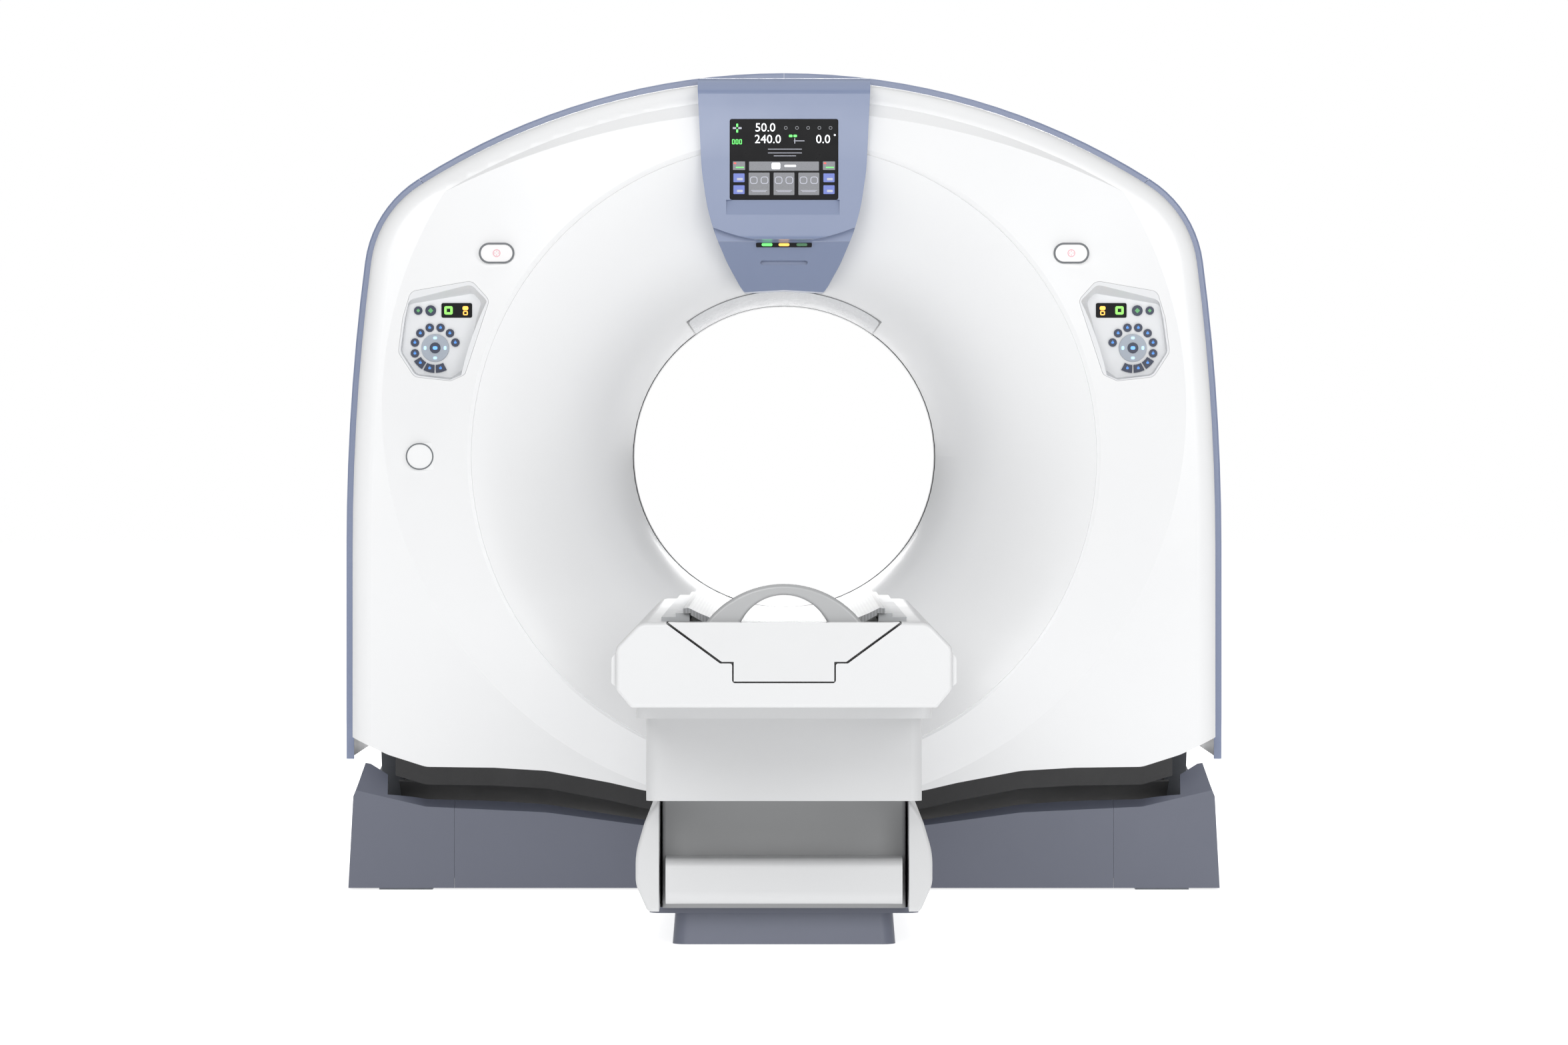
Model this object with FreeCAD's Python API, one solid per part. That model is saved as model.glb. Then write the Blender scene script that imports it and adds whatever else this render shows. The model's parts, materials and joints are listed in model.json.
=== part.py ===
import FreeCAD, Part
import math
import os

from FreeCAD import Vector as V

# CT scanner with a tilting gantry and a lifting patient table. All sizes in millimetres.
# X runs across the gantry, Y along the patient axis (the table lies towards -Y), Z up.
# The origin is on the floor, midway between the gantry's four anchor holes.

# ---- gantry ----
iso_z = 975.0            # height of the bore axis and of the tilt axis
bore_r = 350.0           # patient bore
gantry_half = 990.0      # half the width over the side covers
gantry_top = 1842.0
top_arc_r = 1548.0       # arched top
corner_r = 260.0         # shoulder between arch and side
side_arc_r = 4983.0      # slight belly of the upper sides
side_straight_z = 770.0  # below this the sides are vertical
band_depth = 345.0       # half the depth of the rim covers
band_wall = 6.0
band_low_z = 290.0
lip_step = 18.0          # the faces are set in from the rim by this
cover_wall = 5.0
seam = 0.5               # gap between neighbouring covers
plate_y = 440.0          # front face plate, distance from the bore axis plane
ridge_y = 490.0          # crest of the bell mouth
ridge_r = 699.0
crease_r = 903.0         # where the raised collar dies into the plate
crease_rise = 109.0      # the crease circle sits higher than the bore
edge_round = 45.0
bell_angle = 75.0        # turn of the bell mouth's arc
rear_plate_y = 430.0
rear_ridge_y = 470.0
rear_ridge_r = 640.0
rear_crease_r = 790.0
tilt_gap = 0.3           # running gap between parts on different bodies

# ---- gantry base ----
base_half = 979.0
base_front_y = 430.0
base_wall = 6.0
base_seam_x = 741.0
sweep_low = [(0, 930), (318, 915), (532, 882), (651, 873), (891, 872), (892, 822), (930, 800), (1100, 792)]
sweep_pan = [(0, 890), (318, 876), (532, 850), (804, 842), (866, 839)]
base_chamfer = 18.0
shelf_depth = 30.0
upright_x = 880.0        # inner face of the uprights
upright_t = 50.0
beam_y = 300.0
beam_w = 80.0
beam_low = 20.0
beam_high = 90.0
anchor_x = 850.0
anchor_y = 380.0
anchor_r = 9.0
trunnion_r = 35.0
shaft_gap = 0.05
bearing_wall = 25.0

# ---- drum and drive ----
drum_r = 700.0
drum_clear = 50.0        # between the bore and the drum's hub
drum_in_r = bore_r + drum_clear
drum_y = 60.0            # front face of the drum plate
drum_edge = 15.0         # free margin at the drum's rim
tube_depth = 110.0       # from the drum's rim to the tube's axis
drum_t = 30.0
hub_wall = 30.0
race_in_r = drum_in_r + hub_wall
race_t = 25.0
race_y = 100.0
race_w = 50.0
ball_r = 8.0
ball_count = 24
frame_ring_r = drum_r + 60.0
frame_ring_y = 110.0
frame_ring_t = 40.0
motor_clear = 116.0      # from the drum's rim to the motor's axis
motor_angle = math.radians(36.0)
motor_x = (drum_r + motor_clear) * math.cos(motor_angle)
motor_z = iso_z + (drum_r + motor_clear) * math.sin(motor_angle)
pulley_r = 40.0
belt_t = 5.0
belt_w = 30.0
belt_y = 20.0
gear_module = 4.0
sector_teeth = 120
pinion_teeth = 12
gear_w = 12.0
arm_gap = 24.0           # between the tilt frame's arms and the uprights

# ---- patient table ----
foot_y = -2767.0
head_y = -850.0
body_half = 308.0
strip_t = 8.0
body_low = 508.0
body_top = 664.0
skirt_low = 472.0
skirt_half = 280.0
skirt_y = (-2400.0, -900.0)
wall = 4.0
cap_half = 212.0
cap_depth = 67.0
tongue_half = 92.0
tongue_low = 556.0
ledge_half = 114.0
ledge_z = 592.0
cap_gap = 3.0
end_round = 7.5          # rounding of the table body's foot end
board_r = 345.0          # the cradle's underside lies on this radius about the bore axis
board_half = 172.0
flange_half = 186.0
rail_top = 679.0
roller_r = 30.0
plinth_top = 74.0
plinth_half = (217.0, 222.0)
plinth_y = (-1879.0, -1050.0)
column_x = 165.0
column_w = 100.0
column_d = 260.0
column_y = -1450.0

ALONG = V(0, 1, 0)


def save(name, *solids):
    """Write one node; several separate solids go in as one compound."""
    shape = solids[0] if len(solids) == 1 else Part.makeCompound(list(solids))
    shape.exportStep("parts/" + name + ".step")
    print(name, len(shape.Solids), round(shape.Volume / 1e6, 3), shape.isValid())


def box(x0, x1, y0, y1, z0, z1):
    return Part.makeBox(x1 - x0, y1 - y0, z1 - z0, V(x0, y0, z0))


def mirror_x(shape):
    return shape.mirror(V(0, 0, 0), V(1, 0, 0))


def rounded_wire(points, place):
    """Closed wire through (u, v, radius) corners; place turns (u, v) into a point."""
    corners = [place(p[0], p[1]) for p in points]
    radii = [p[2] if len(p) > 2 else 0.0 for p in points]
    spans = []
    for i, corner in enumerate(corners):
        if radii[i] <= 0:
            spans.append((corner, corner, None))
            continue
        back = (corners[i - 1] - corner).normalize()
        ahead = (corners[(i + 1) % len(corners)] - corner).normalize()
        half = back.getAngle(ahead) / 2
        reach = radii[i] / math.tan(half)
        middle = corner + (back + ahead).normalize() * (radii[i] / math.sin(half) - radii[i])
        start, end = corner + back * reach, corner + ahead * reach
        spans.append((start, end, Part.Arc(start, middle, end).toShape()))
    edges = []
    for i, (start, end, arc) in enumerate(spans):
        if arc:
            edges.append(arc)
        following = spans[(i + 1) % len(spans)][0]
        if end.distanceToPoint(following) > 1e-6:
            edges.append(Part.LineSegment(end, following).toShape())
    return Part.Wire(edges)


def wire_xz(points, y=0.0):
    return rounded_wire(points, lambda u, v: V(u, y, v))


def prism_xz(points, y0, y1):
    """Solid with an (x, z, radius) outline between two Y planes."""
    return Part.Face(wire_xz(points, y0)).extrude(V(0, y1 - y0, 0))


def prism_yz(points, x0, x1):
    face = Part.Face(rounded_wire(points, lambda u, v: V(x0, u, v)))
    return face.extrude(V(x1 - x0, 0, 0))


def prism_xy(points, z0, z1):
    face = Part.Face(rounded_wire(points, lambda u, v: V(u, v, z0)))
    return face.extrude(V(0, 0, z1 - z0))


def rectangle(x0, x1, z0, z1, r=0.0):
    return [(x0, z0, r), (x1, z0, r), (x1, z1, r), (x0, z1, r)]


def disc(x, z, r, y0, y1):
    return Part.makeCylinder(r, y1 - y0, V(x, y0, z), ALONG)


def ring(r0, r1, y0, y1, x=0.0, z=iso_z):
    return disc(x, z, r1, y0, y1).cut(disc(x, z, r0, y0 - 1, y1 + 1))


def polar(r, degrees, y=0.0):
    """Point on the bore's section, degrees counted from +X towards +Z."""
    a = math.radians(degrees)
    return V(r * math.cos(a), y, iso_z + r * math.sin(a))


def mirrored(points):
    """Whole outline from its right half, which starts and ends on the centre line."""
    left = [(-p[0],) + tuple(p[1:]) for p in reversed(points) if p[0] != 0]
    return list(points) + left


# ---- gantry shell ----

def contour(inset, y, z_low=100.0):
    """Gantry outline: arched top, shoulders and sides, closed by a straight line at z_low."""
    top_centre = V(0, 0, gantry_top - top_arc_r)
    side_centre = V(gantry_half - side_arc_r, 0, side_straight_z)
    a, b = top_arc_r - corner_r, side_arc_r - corner_r
    span = top_centre.distanceToPoint(side_centre)
    along = (b * b - a * a + span * span) / (2 * span)
    rise = math.sqrt(b * b - along * along)
    u = (top_centre - side_centre).normalize()
    shoulder = side_centre + u * along + V(-u.z, 0, u.x) * rise
    if shoulder.z < side_centre.z:
        shoulder = side_centre + u * along - V(-u.z, 0, u.x) * rise

    def on(centre, r, angle):
        return V(centre.x + r * math.cos(angle), y, centre.z + r * math.sin(angle))

    def flip(p):
        return V(-p.x, p.y, p.z)

    r1, r2, r3 = top_arc_r - inset, corner_r - inset, side_arc_r - inset
    a1 = math.atan2(shoulder.z - top_centre.z, shoulder.x - top_centre.x)
    a2 = math.atan2(shoulder.z - side_centre.z, shoulder.x - side_centre.x)
    crown = on(top_centre, r1, math.pi / 2)
    m1 = on(top_centre, r1, (a1 + math.pi / 2) / 2)
    p1 = on(top_centre, r1, a1)
    m2 = on(shoulder, r2, (a1 + a2) / 2)
    p2 = on(shoulder, r2, a2)
    m3 = on(side_centre, r3, a2 / 2)
    p3 = on(side_centre, r3, 0.0)
    low = V(gantry_half - inset, y, z_low)
    curves = [Part.Arc(crown, m1, p1), Part.Arc(p1, m2, p2), Part.Arc(p2, m3, p3),
              Part.LineSegment(p3, low), Part.LineSegment(low, flip(low)),
              Part.LineSegment(flip(low), flip(p3)), Part.Arc(flip(p3), flip(m3), flip(p2)),
              Part.Arc(flip(p2), flip(m2), flip(p1)), Part.Arc(flip(p1), flip(m1), crown)]
    return Part.Wire([c.toShape() for c in curves])


def contour_prism(inset, y0, y1, z_low=100.0):
    return Part.Face(contour(inset, y0, z_low)).extrude(V(0, y1 - y0, 0))


def circle_wire(r, y, z):
    return Part.Wire(Part.makeCircle(r, V(0, y, z), ALONG))


def face_block(t, side, plate, ridge, r_ridge, r_crease, rise):
    """Closed block behind one gantry face, shrunk by t: rounded plate with a raised collar."""
    rim = lip_step + t
    flat = contour_prism(rim, -plate + t, -band_depth + 15)
    front = [e for e in flat.Edges if e.BoundBox.YMax < -plate + t + 0.1 and e.BoundBox.ZMax > 101]
    flat = flat.makeFillet(edge_round - t, front)
    inner, outer = contour(edge_round + lip_step, -plate + t), contour(edge_round + lip_step + 50, -plate + t - 60)
    limit = Part.makeLoft([inner, outer], True, True)
    collar = Part.makeLoft([circle_wire(r_ridge, -ridge + t, iso_z),
                            circle_wire(r_crease, -plate + t, iso_z + rise)], True, True)
    block = flat.fuse(collar.common(limit)).removeSplitter()
    return block if side < 0 else block.mirror(V(0, 0, 0), ALONG)


def bell_profile(r_mouth, y_mouth, t):
    """Radius, start plane and arc radius of a bell mouth, its skin moved outwards by t."""
    turn = math.radians(bell_angle)
    arc = (r_mouth - bore_r) / (1 - math.cos(turn))
    throat_y = y_mouth - arc * math.sin(turn)
    return arc - t, throat_y, bore_r + arc


def bell_void(r_mouth, y_mouth, t, side):
    """Solid that fills a bell mouth from its throat to past its crest."""
    arc, throat, centre_r = bell_profile(r_mouth, y_mouth, t)
    turn = math.radians(bell_angle)
    start = V(centre_r - arc, -throat, iso_z)
    mid = V(centre_r - arc * math.cos(turn / 2), -throat - arc * math.sin(turn / 2), iso_z)
    end = V(centre_r - arc * math.cos(turn), -throat - arc * math.sin(turn), iso_z)
    out = V(end.x + 60 * math.sin(turn), end.y - 60 * math.cos(turn), iso_z)
    edges = [Part.LineSegment(V(0, -throat, iso_z), start), Part.Arc(start, mid, end),
             Part.LineSegment(end, out), Part.LineSegment(out, V(0, out.y, iso_z)),
             Part.LineSegment(V(0, out.y, iso_z), V(0, -throat, iso_z))]
    face = Part.Face(Part.Wire([e.toShape() for e in edges]))
    solid = face.revolve(V(0, 0, iso_z), ALONG, 360)
    return solid if side < 0 else solid.mirror(V(0, 0, 0), ALONG)


def bell_wall(r_mouth, y_mouth, side):
    """Skin of the bell mouth between its throat and its crest."""
    turn = math.radians(bell_angle)
    arc, throat, centre_r = bell_profile(r_mouth, y_mouth, 0)
    inner = arc - cover_wall

    def at(r, angle):
        return V(centre_r - r * math.cos(angle), -throat - r * math.sin(angle), iso_z)

    edges = [Part.Arc(at(arc, 0), at(arc, turn / 2), at(arc, turn)),
             Part.LineSegment(at(arc, turn), at(inner, turn)),
             Part.Arc(at(inner, turn), at(inner, turn / 2), at(inner, 0)),
             Part.LineSegment(at(inner, 0), at(arc, 0))]
    face = Part.Face(Part.Wire([e.toShape() for e in edges]))
    solid = face.revolve(V(0, 0, iso_z), ALONG, 360)
    return solid if side < 0 else solid.mirror(V(0, 0, 0), ALONG)


front_numbers = (-1, plate_y, ridge_y, ridge_r, crease_r, crease_rise)
rear_numbers = (1, rear_plate_y, rear_ridge_y, rear_ridge_r, rear_crease_r, 0.0)
front_low = [(0, 207), (307, 222, 200), (389, 241, 200), (532, 268, 200), (651, 275), (804, 277, 60),
             (889, 304, 100), (959, 337), (1100, 395), (1100, gantry_top + 108)]
rear_low = [(0, 240), (600, 262, 300), (850, 290, 60), (959, 337), (1100, 395), (1100, gantry_top + 108)]


def above(points, y0, y1):
    """Everything above a lower edge that is given as its right half."""
    return prism_xz(mirrored([p for p in points]), y0, y1)


def face_cover(numbers, low):
    """Moulded cover of one gantry face, open behind, with its bell mouth."""
    side, _, ridge, r_ridge = numbers[:4]
    shell = face_block(0, *numbers).cut(face_block(cover_wall, *numbers))
    shell = shell.cut(bell_void(r_ridge, ridge, cover_wall, side)).fuse(bell_wall(r_ridge, ridge, side))
    return shell.common(above(low, -700, 700)).removeSplitter()


def outer_skin():
    """Solid bounded by the front cover's outer skin, for seating parts on it."""
    return face_block(0, *front_numbers).cut(bell_void(ridge_r, ridge_y, 0, -1))


def band():
    """Whole rim around the gantry with inward lips at both faces, open below."""
    tube = contour_prism(0, -band_depth, band_depth)
    rims = [e for e in tube.Edges if e.BoundBox.YLength < 0.1 and e.BoundBox.ZMax > 101]
    tube = tube.makeChamfer(4.0, rims)
    hollow = contour_prism(band_wall, -band_depth + band_wall, band_depth - band_wall)
    mouth = contour_prism(lip_step - seam, -band_depth - 1, band_depth + 1)
    tube = tube.cut(hollow).cut(mouth)
    low = [(0, 0), (1100, 0), (1100, band_low_z), (0, band_low_z)]
    return tube.cut(prism_xz(mirrored(low), -400, 400))


shoulder_seam = (815.0, 1592.0)


def rim_covers():
    whole = band()
    sx, sz = shoulder_seam
    k = seam / 2
    lower = prism_xz([(sx - 160 + k, sz - 160 - k), (sx + 300 + k, sz + 300 - k), (1200, 100), (500, 100)],
                     -400, 400)
    upper = prism_xz([(k, 900), (k, gantry_top + 58), (sx + 309, gantry_top + 58),
                      (sx + 308 - k, sz + 308 + k), (sx - 160 - k, sz - 160 + k)],
                     -400, 400)
    side, top = whole.common(lower), whole.common(upper)
    save("rim_covers", side, mirror_x(side), top, mirror_x(top))


# ---- controls and lamps on the front face ----

pad_outer = [(838, 1345, 20), (699, 1368, 22), (659, 1324, 18), (714, 1157, 14), (746, 1143, 12),
             (829, 1152, 22), (866, 1208, 22), (856, 1286, 60)]
pad_inner = [(845, 1316, 14), (697, 1341, 14), (681, 1321, 12), (720, 1171, 10), (747, 1151, 10),
             (825, 1159, 18), (859, 1210, 18), (849, 1285, 50)]
pad_floor_y = -426.0
pad_centre = (784.0, 1218.0)
key_ring_r = 47.0
key_r = 9.5
key_h = 4.0
disc_r = 31.0
select_r = 12.0
press_travel = 1.2
lamp_place = (643.0, 1429.0, 81.0, 48.0)
port_place = (-790.0, 974.0, 116.0, 61.0)
console_half = [(0, 1900), (193, 1900), (193, 1797), (184, 1614, 400), (171, 1526, 400), (155, 1473, 300),
                (128, 1410, 300), (100, 1361, 60), (90, 1347, 8), (0, 1352)]
console_y = -512.0
screen_half, screen_low, screen_high = 121.5, 1547.0, 1728.0
light_bar = (63.0, 1442.0, 1453.0)


def pill(x, z, w, h, y0, y1, grow=0.0):
    w, h = w / 2 + grow, h / 2 + grow
    return prism_xz(rectangle(x - w, x + w, z - h, z + h, h - 0.01), y0, y1)


def seated(shape, skin):
    """Part of a block that stands in front of the cover's skin."""
    return shape.cut(skin)


def pad_prism(y0, y1, grow=0.0):
    wire = wire_xz(pad_outer, y0)
    if grow:
        wire = wire.makeOffset2D(grow)
    return Part.Face(wire).extrude(V(0, y1 - y0, 0))


def control_pad(block):
    """Tray, keys, rocker disc, centre button and display of the right-hand pad."""
    x, z = pad_centre
    tray = pad_prism(-600, pad_floor_y + 10, -seam).common(block)
    rim = [(x + (x0 - x) * 0.03, z + (z0 - z) * 0.03, r) for x, z, r, x0, z0 in
           [(*corner, *pad_centre) for corner in pad_outer]]
    pocket = Part.makeLoft([wire_xz(rim, -480), wire_xz(pad_inner, pad_floor_y)], True, True)
    well = disc(x, z, disc_r + tilt_gap, pad_floor_y - 1, pad_floor_y + 4)
    tray = tray.cut(pocket).cut(well)
    keys = []
    for angle in (15, 45, 75, 105, -15, -45, -75):
        a = math.radians(90 - angle)
        kx, kz = x + key_ring_r * math.cos(a), z + key_ring_r * math.sin(a)
        keys.append(disc(kx, kz, key_r, pad_floor_y - key_h, pad_floor_y))
    annulus = ring(key_ring_r - 9, key_ring_r + 9, pad_floor_y - key_h, pad_floor_y, x, z)
    for angle in (135, 165, 195):
        a0, a1 = math.radians(90 - angle - 13), math.radians(90 - angle + 13)
        wedge = prism_xz([(x, z), (x + 90 * math.cos(a0), z + 90 * math.sin(a0)),
                          (x + 90 * math.cos(a1), z + 90 * math.sin(a1))], -440, pad_floor_y)
        keys.append(annulus.common(wedge))
    for kx, r in ((x + 38, key_r), (x + 10, select_r)):
        keys.append(disc(kx, z + 84, r, pad_floor_y - key_h, pad_floor_y))
    lift = press_travel + tilt_gap
    rocker = ring(select_r + tilt_gap, disc_r, pad_floor_y - 4, pad_floor_y + 4 - lift, x, z)
    select = disc(x, z, select_r, pad_floor_y - 5, pad_floor_y + 4 - lift)
    screen = prism_xz(rectangle(x - 83, x - 14, z + 68, z + 101, 4), pad_floor_y - 2, pad_floor_y)
    return tray, keys, rocker, select, screen


def front_face():
    block = face_block(0, *front_numbers)
    skin = outer_skin()
    cover = face_cover(front_numbers, front_low)
    hole = pad_prism(-600, -300)
    cover = cover.cut(hole).cut(mirror_x(hole))
    save("front_cover", cover)
    tray, keys, rocker, select, screen = control_pad(block)
    save("control_panels", tray, mirror_x(tray))
    save("keypad_keys", *keys, *[mirror_x(key) for key in keys])
    for side, turn in (("right", lambda s: s), ("left", mirror_x)):
        save("direction_button_" + side, turn(rocker))
        save("select_button_" + side, turn(select))
    lx, lz, lw, lh = lamp_place
    lamp = seated(pill(lx, lz, lw, lh, -484, -440), skin)
    save("gantry_lamps", lamp, mirror_x(lamp))
    px, pz, pw, ph = port_place
    save("port_cover", seated(pill(px, pz, pw, ph, -468, -430), skin))
    window = crescent()
    console(skin, screen, window)
    bumper()


def console(skin, pad_screen, window):
    """Display visor: a shield that hangs over the bell mouth."""
    body = prism_xz(mirrored(console_half), -560, -100)
    profile = [(-100, 1330), (-300, 1343), (-478, 1456, 20), (console_y, 1460, 8), (console_y, 1700, 900),
               (-500, 1792, 30), (-478, 1822, 40), (-346, 1822), (-346, 1700), (-100, 1700)]
    body = body.common(prism_yz(profile, -400, 400))
    behind = box(-400, 400, -336, 0, 1000, 1950).cut(bell_void(ridge_r, ridge_y, 0, -1))
    body = body.cut(skin).cut(behind).cut(window)
    visor_low, visor_r, visor_y = 1454.0, 411.0, -479.0
    under = box(-200, 200, -560, visor_y, 1380, 1520).cut(disc(0, visor_low + visor_r, visor_r, -561, visor_y + 1))
    ledge = prism_yz([(console_y - 1, 1509), (-505, screen_low), (-560, screen_low), (-560, 1509)], -129, 124)
    body = body.cut(under).cut(ledge)
    body = body.cut(prism_xz(rectangle(-screen_half, screen_half, screen_low, screen_high, 5), -560, -502))
    bw, b0, b1 = light_bar
    bar_y = -468.0
    body = body.cut(prism_xz(rectangle(-bw, bw, b0, b1, 3), -560, bar_y))
    body = body.cut(prism_xz(rectangle(-53, 53, 1406, 1415, 4.4), -560, -395))
    solids = sorted(body.Solids, key=lambda s: s.Volume)
    save("display_console", solids[-1])
    screen = prism_xz(rectangle(-screen_half + seam, screen_half - seam, screen_low + seam, screen_high - seam, 5),
                      -506, -502)
    save("display_screens", screen, pad_screen, mirror_x(pad_screen))
    save("status_light_bar", prism_xz(rectangle(-bw + seam, bw - seam, b0 + seam, b1 - seam, 2.5),
                                      bar_y - 4, bar_y))


def crescent():
    """Clear strip for the positioning lights, lying on the upper throat of the bell mouth."""
    arc, throat, centre_r = bell_profile(ridge_r, ridge_y, 0)
    first, last, skin_t = 2.0, 20.5, 1.5

    def at(r, degrees):
        a = math.radians(degrees)
        return V(centre_r - r * math.cos(a), -throat - r * math.sin(a), iso_z)

    mid = (first + last) / 2
    edges = [Part.Arc(at(arc, first), at(arc, mid), at(arc, last)),
             Part.LineSegment(at(arc, last), at(arc + skin_t, last)),
             Part.Arc(at(arc + skin_t, last), at(arc + skin_t, mid), at(arc + skin_t, first)),
             Part.LineSegment(at(arc + skin_t, first), at(arc, first))]
    face = Part.Face(Part.Wire([e.toShape() for e in edges]))
    face.rotate(V(0, 0, iso_z), ALONG, -54)
    window = face.revolve(V(0, 0, iso_z), ALONG, -72)
    save("alignment_window", window)
    return window


def bumper():
    """Touch strip under the front cover's lower edge."""
    lower = [(x, z - 40) + tuple(rest) for x, z, *rest in front_low[:6]] + [(886, 262), (1100, 262), (1100, gantry_top + 108)]
    strip = above(lower, -plate_y, -plate_y + 30).cut(above(front_low, -500, -300))
    strip = strip.common(box(-872, 872, -plate_y, -plate_y + 30, 100, 400))
    save("front_bumper", strip)


def about_tilt(points, grow=0.0):
    """Solid of revolution about the tilt axis; (x, radius) points for the right half."""
    half = [V(x, 0, iso_z + r + grow) for x, r in points]
    line = [V(-p.x, 0, p.z) for p in reversed(half[1:])] + half
    corners = [V(line[0].x, 0, iso_z)] + line + [V(line[-1].x, 0, iso_z)]
    face = Part.Face(Part.makePolygon(corners + [corners[0]]))
    return face.revolve(V(0, 0, iso_z), V(1, 0, 0), 360)


def belly_pan():
    """Dark pan that closes the gantry below, curved about the tilt axis."""
    end_y, half = plate_y - 30, sweep_pan[-1][0]
    pan = about_tilt(sweep_pan).cut(about_tilt(sweep_pan[:-1] + [(half + 5, sweep_pan[-1][1])], -4))
    save("belly_pan", pan.common(box(-half, half, -end_y, end_y, 0, iso_z)))


# ---- gantry base ----

def base_frame():
    """Welded base with hourglass uprights that carry the tilt bearings."""
    outer_x, inner_x = upright_x + upright_t + 4, upright_x - 20
    outer_y, inner_y = beam_y + beam_w / 2, beam_y - beam_w / 2
    frame = box(-outer_x, outer_x, -outer_y, outer_y, beam_low, beam_high)
    frame = frame.cut(box(-inner_x, inner_x, -inner_y, inner_y, beam_low - 1, beam_high + 1))
    half = [(100, iso_z), (100, iso_z - 640, 40), (28, iso_z - 790, 15), (90, iso_z - 880, 10), (90, beam_high - 20)]
    side = prism_yz([(-y, *rest) for y, *rest in half] + half[::-1], upright_x, upright_x + upright_t)
    side = side.fuse(Part.makeCylinder(110, upright_t, V(upright_x, 0, iso_z), V(1, 0, 0)))
    seat = trunnion_r + bearing_wall
    side = side.cut(Part.makeCylinder(seat, 2 * upright_t, V(upright_x - 10, 0, iso_z), V(1, 0, 0)))
    bracket = box(-upright_x - 6, -upright_x + 110, -50, 50, pinion_z() - 62, pinion_z() - 50)
    frame = frame.fuse(side).fuse(mirror_x(side)).fuse(bracket)
    for x in (-anchor_x, anchor_x):
        for y in (-1, 1):
            near, far = sorted((y * beam_y, y * (anchor_y + 44)))
            frame = frame.fuse(box(x - 60, x + 60, near, far, 0, beam_low + 6))
            frame = frame.cut(Part.makeCylinder(anchor_r, beam_low + 20, V(x, y * anchor_y, -1)))
    save("gantry_base_frame", frame)
    bearing = Part.makeCylinder(seat - shaft_gap, upright_t, V(upright_x, 0, iso_z), V(1, 0, 0))
    bearing = bearing.cut(Part.makeCylinder(trunnion_r + shaft_gap, 200, V(upright_x - 20, 0, iso_z), V(1, 0, 0)))
    save("tilt_bearings", bearing, mirror_x(bearing))


def base_outline(rise):
    """Right half of the base's end view: the front facet, or the shelf lifted by rise."""
    edge = [(0, 128), (318, 145, 300), (533, 174, 300), (743, 184), (805, 187, 60)]
    horn = [(941, 288), (957, 240)] if rise else [(962, 224), (966, 215)]
    return [(0, 4)] + [(x, z + rise, *r) for x, z, *r in edge] + horn + [(968, 210), (base_half, 4)]


def base_covers():
    """Front and rear skirts and two wrap-round end covers of the base."""
    y0, y1 = -base_front_y, -base_front_y + shelf_depth
    nose = Part.makeLoft([wire_xz(base_outline(0), y0), wire_xz(base_outline(base_chamfer), y1)], True, True)
    half = nose.fuse(prism_xz(base_outline(base_chamfer), y1, 0))
    inset = [(x, z + base_chamfer - base_wall - 2, *r) for x, z, *r in base_outline(0)[1:6]]
    hollow = prism_xz([(0, -5)] + inset + [(933, 262), (base_half - 24, 210), (base_half - base_wall, -5)],
                      y0 + base_wall + shelf_depth, 1)
    lower = prism_xz([(0, -5)] + [(x, z - base_wall, *r) for x, z, *r in base_outline(0)[1:6]] +
                     [(933, 208), (base_half - 24, 200), (base_half - base_wall, -5)], y0 + base_wall, 1)
    for tool in (about_tilt(sweep_low), hollow, lower):
        half = half.cut(tool)
    whole = half.fuse(half.mirror(V(0, 0, 0), ALONG))
    whole = whole.cut(box(-1, duct_half + seam, -500, 0, 0, duct_high + seam))
    edge = base_seam_x - seam
    centre = whole.common(box(-1, edge, -500, -base_front_y + 60, 0, 500))
    rear = whole.common(box(-1, edge, base_front_y - 60, 500, 0, 500))
    end = whole.common(box(base_seam_x, 1000, -500, 500, 0, 500)).removeSplitter()
    centre = centre.fuse(mirror_x(centre)).removeSplitter()
    rear = rear.fuse(mirror_x(rear)).removeSplitter()
    save("base_covers", centre, rear, end, mirror_x(end))


duct_half, duct_high = 80.0, 42.0


def cable_duct():
    duct = box(-duct_half, duct_half, plinth_y[1], -beam_y - beam_w / 2, 0, duct_high)
    duct = duct.cut(box(-duct_half + 3, duct_half - 3, plinth_y[1] - 1, 0, -1, duct_high - 3))
    save("cable_duct", duct)


# ---- tilt frame and drives ----

def pinion_z():
    return iso_z - gear_module * (sector_teeth + pinion_teeth) / 2


def tooth_ring(teeth, angles, centre, r_root, r_tip, x0, x1):
    """Radial trapezoid teeth about an X axis at the given angles (0 is +Y, 90 is +Z)."""
    pitch = gear_module * math.pi
    r_pitch = gear_module * teeth / 2
    made = []
    for angle in angles:
        tooth = prism_yz([(r_root - 1, -pitch * 0.30), (r_pitch, -pitch * 0.222), (r_tip, -pitch * 0.12),
                          (r_tip, pitch * 0.12), (r_pitch, pitch * 0.222), (r_root - 1, pitch * 0.30)], x0, x1)
        tooth.rotate(V(0, 0, 0), V(1, 0, 0), angle)
        tooth.translate(V(0, 0, centre))
        made.append(tooth)
    return made


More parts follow.
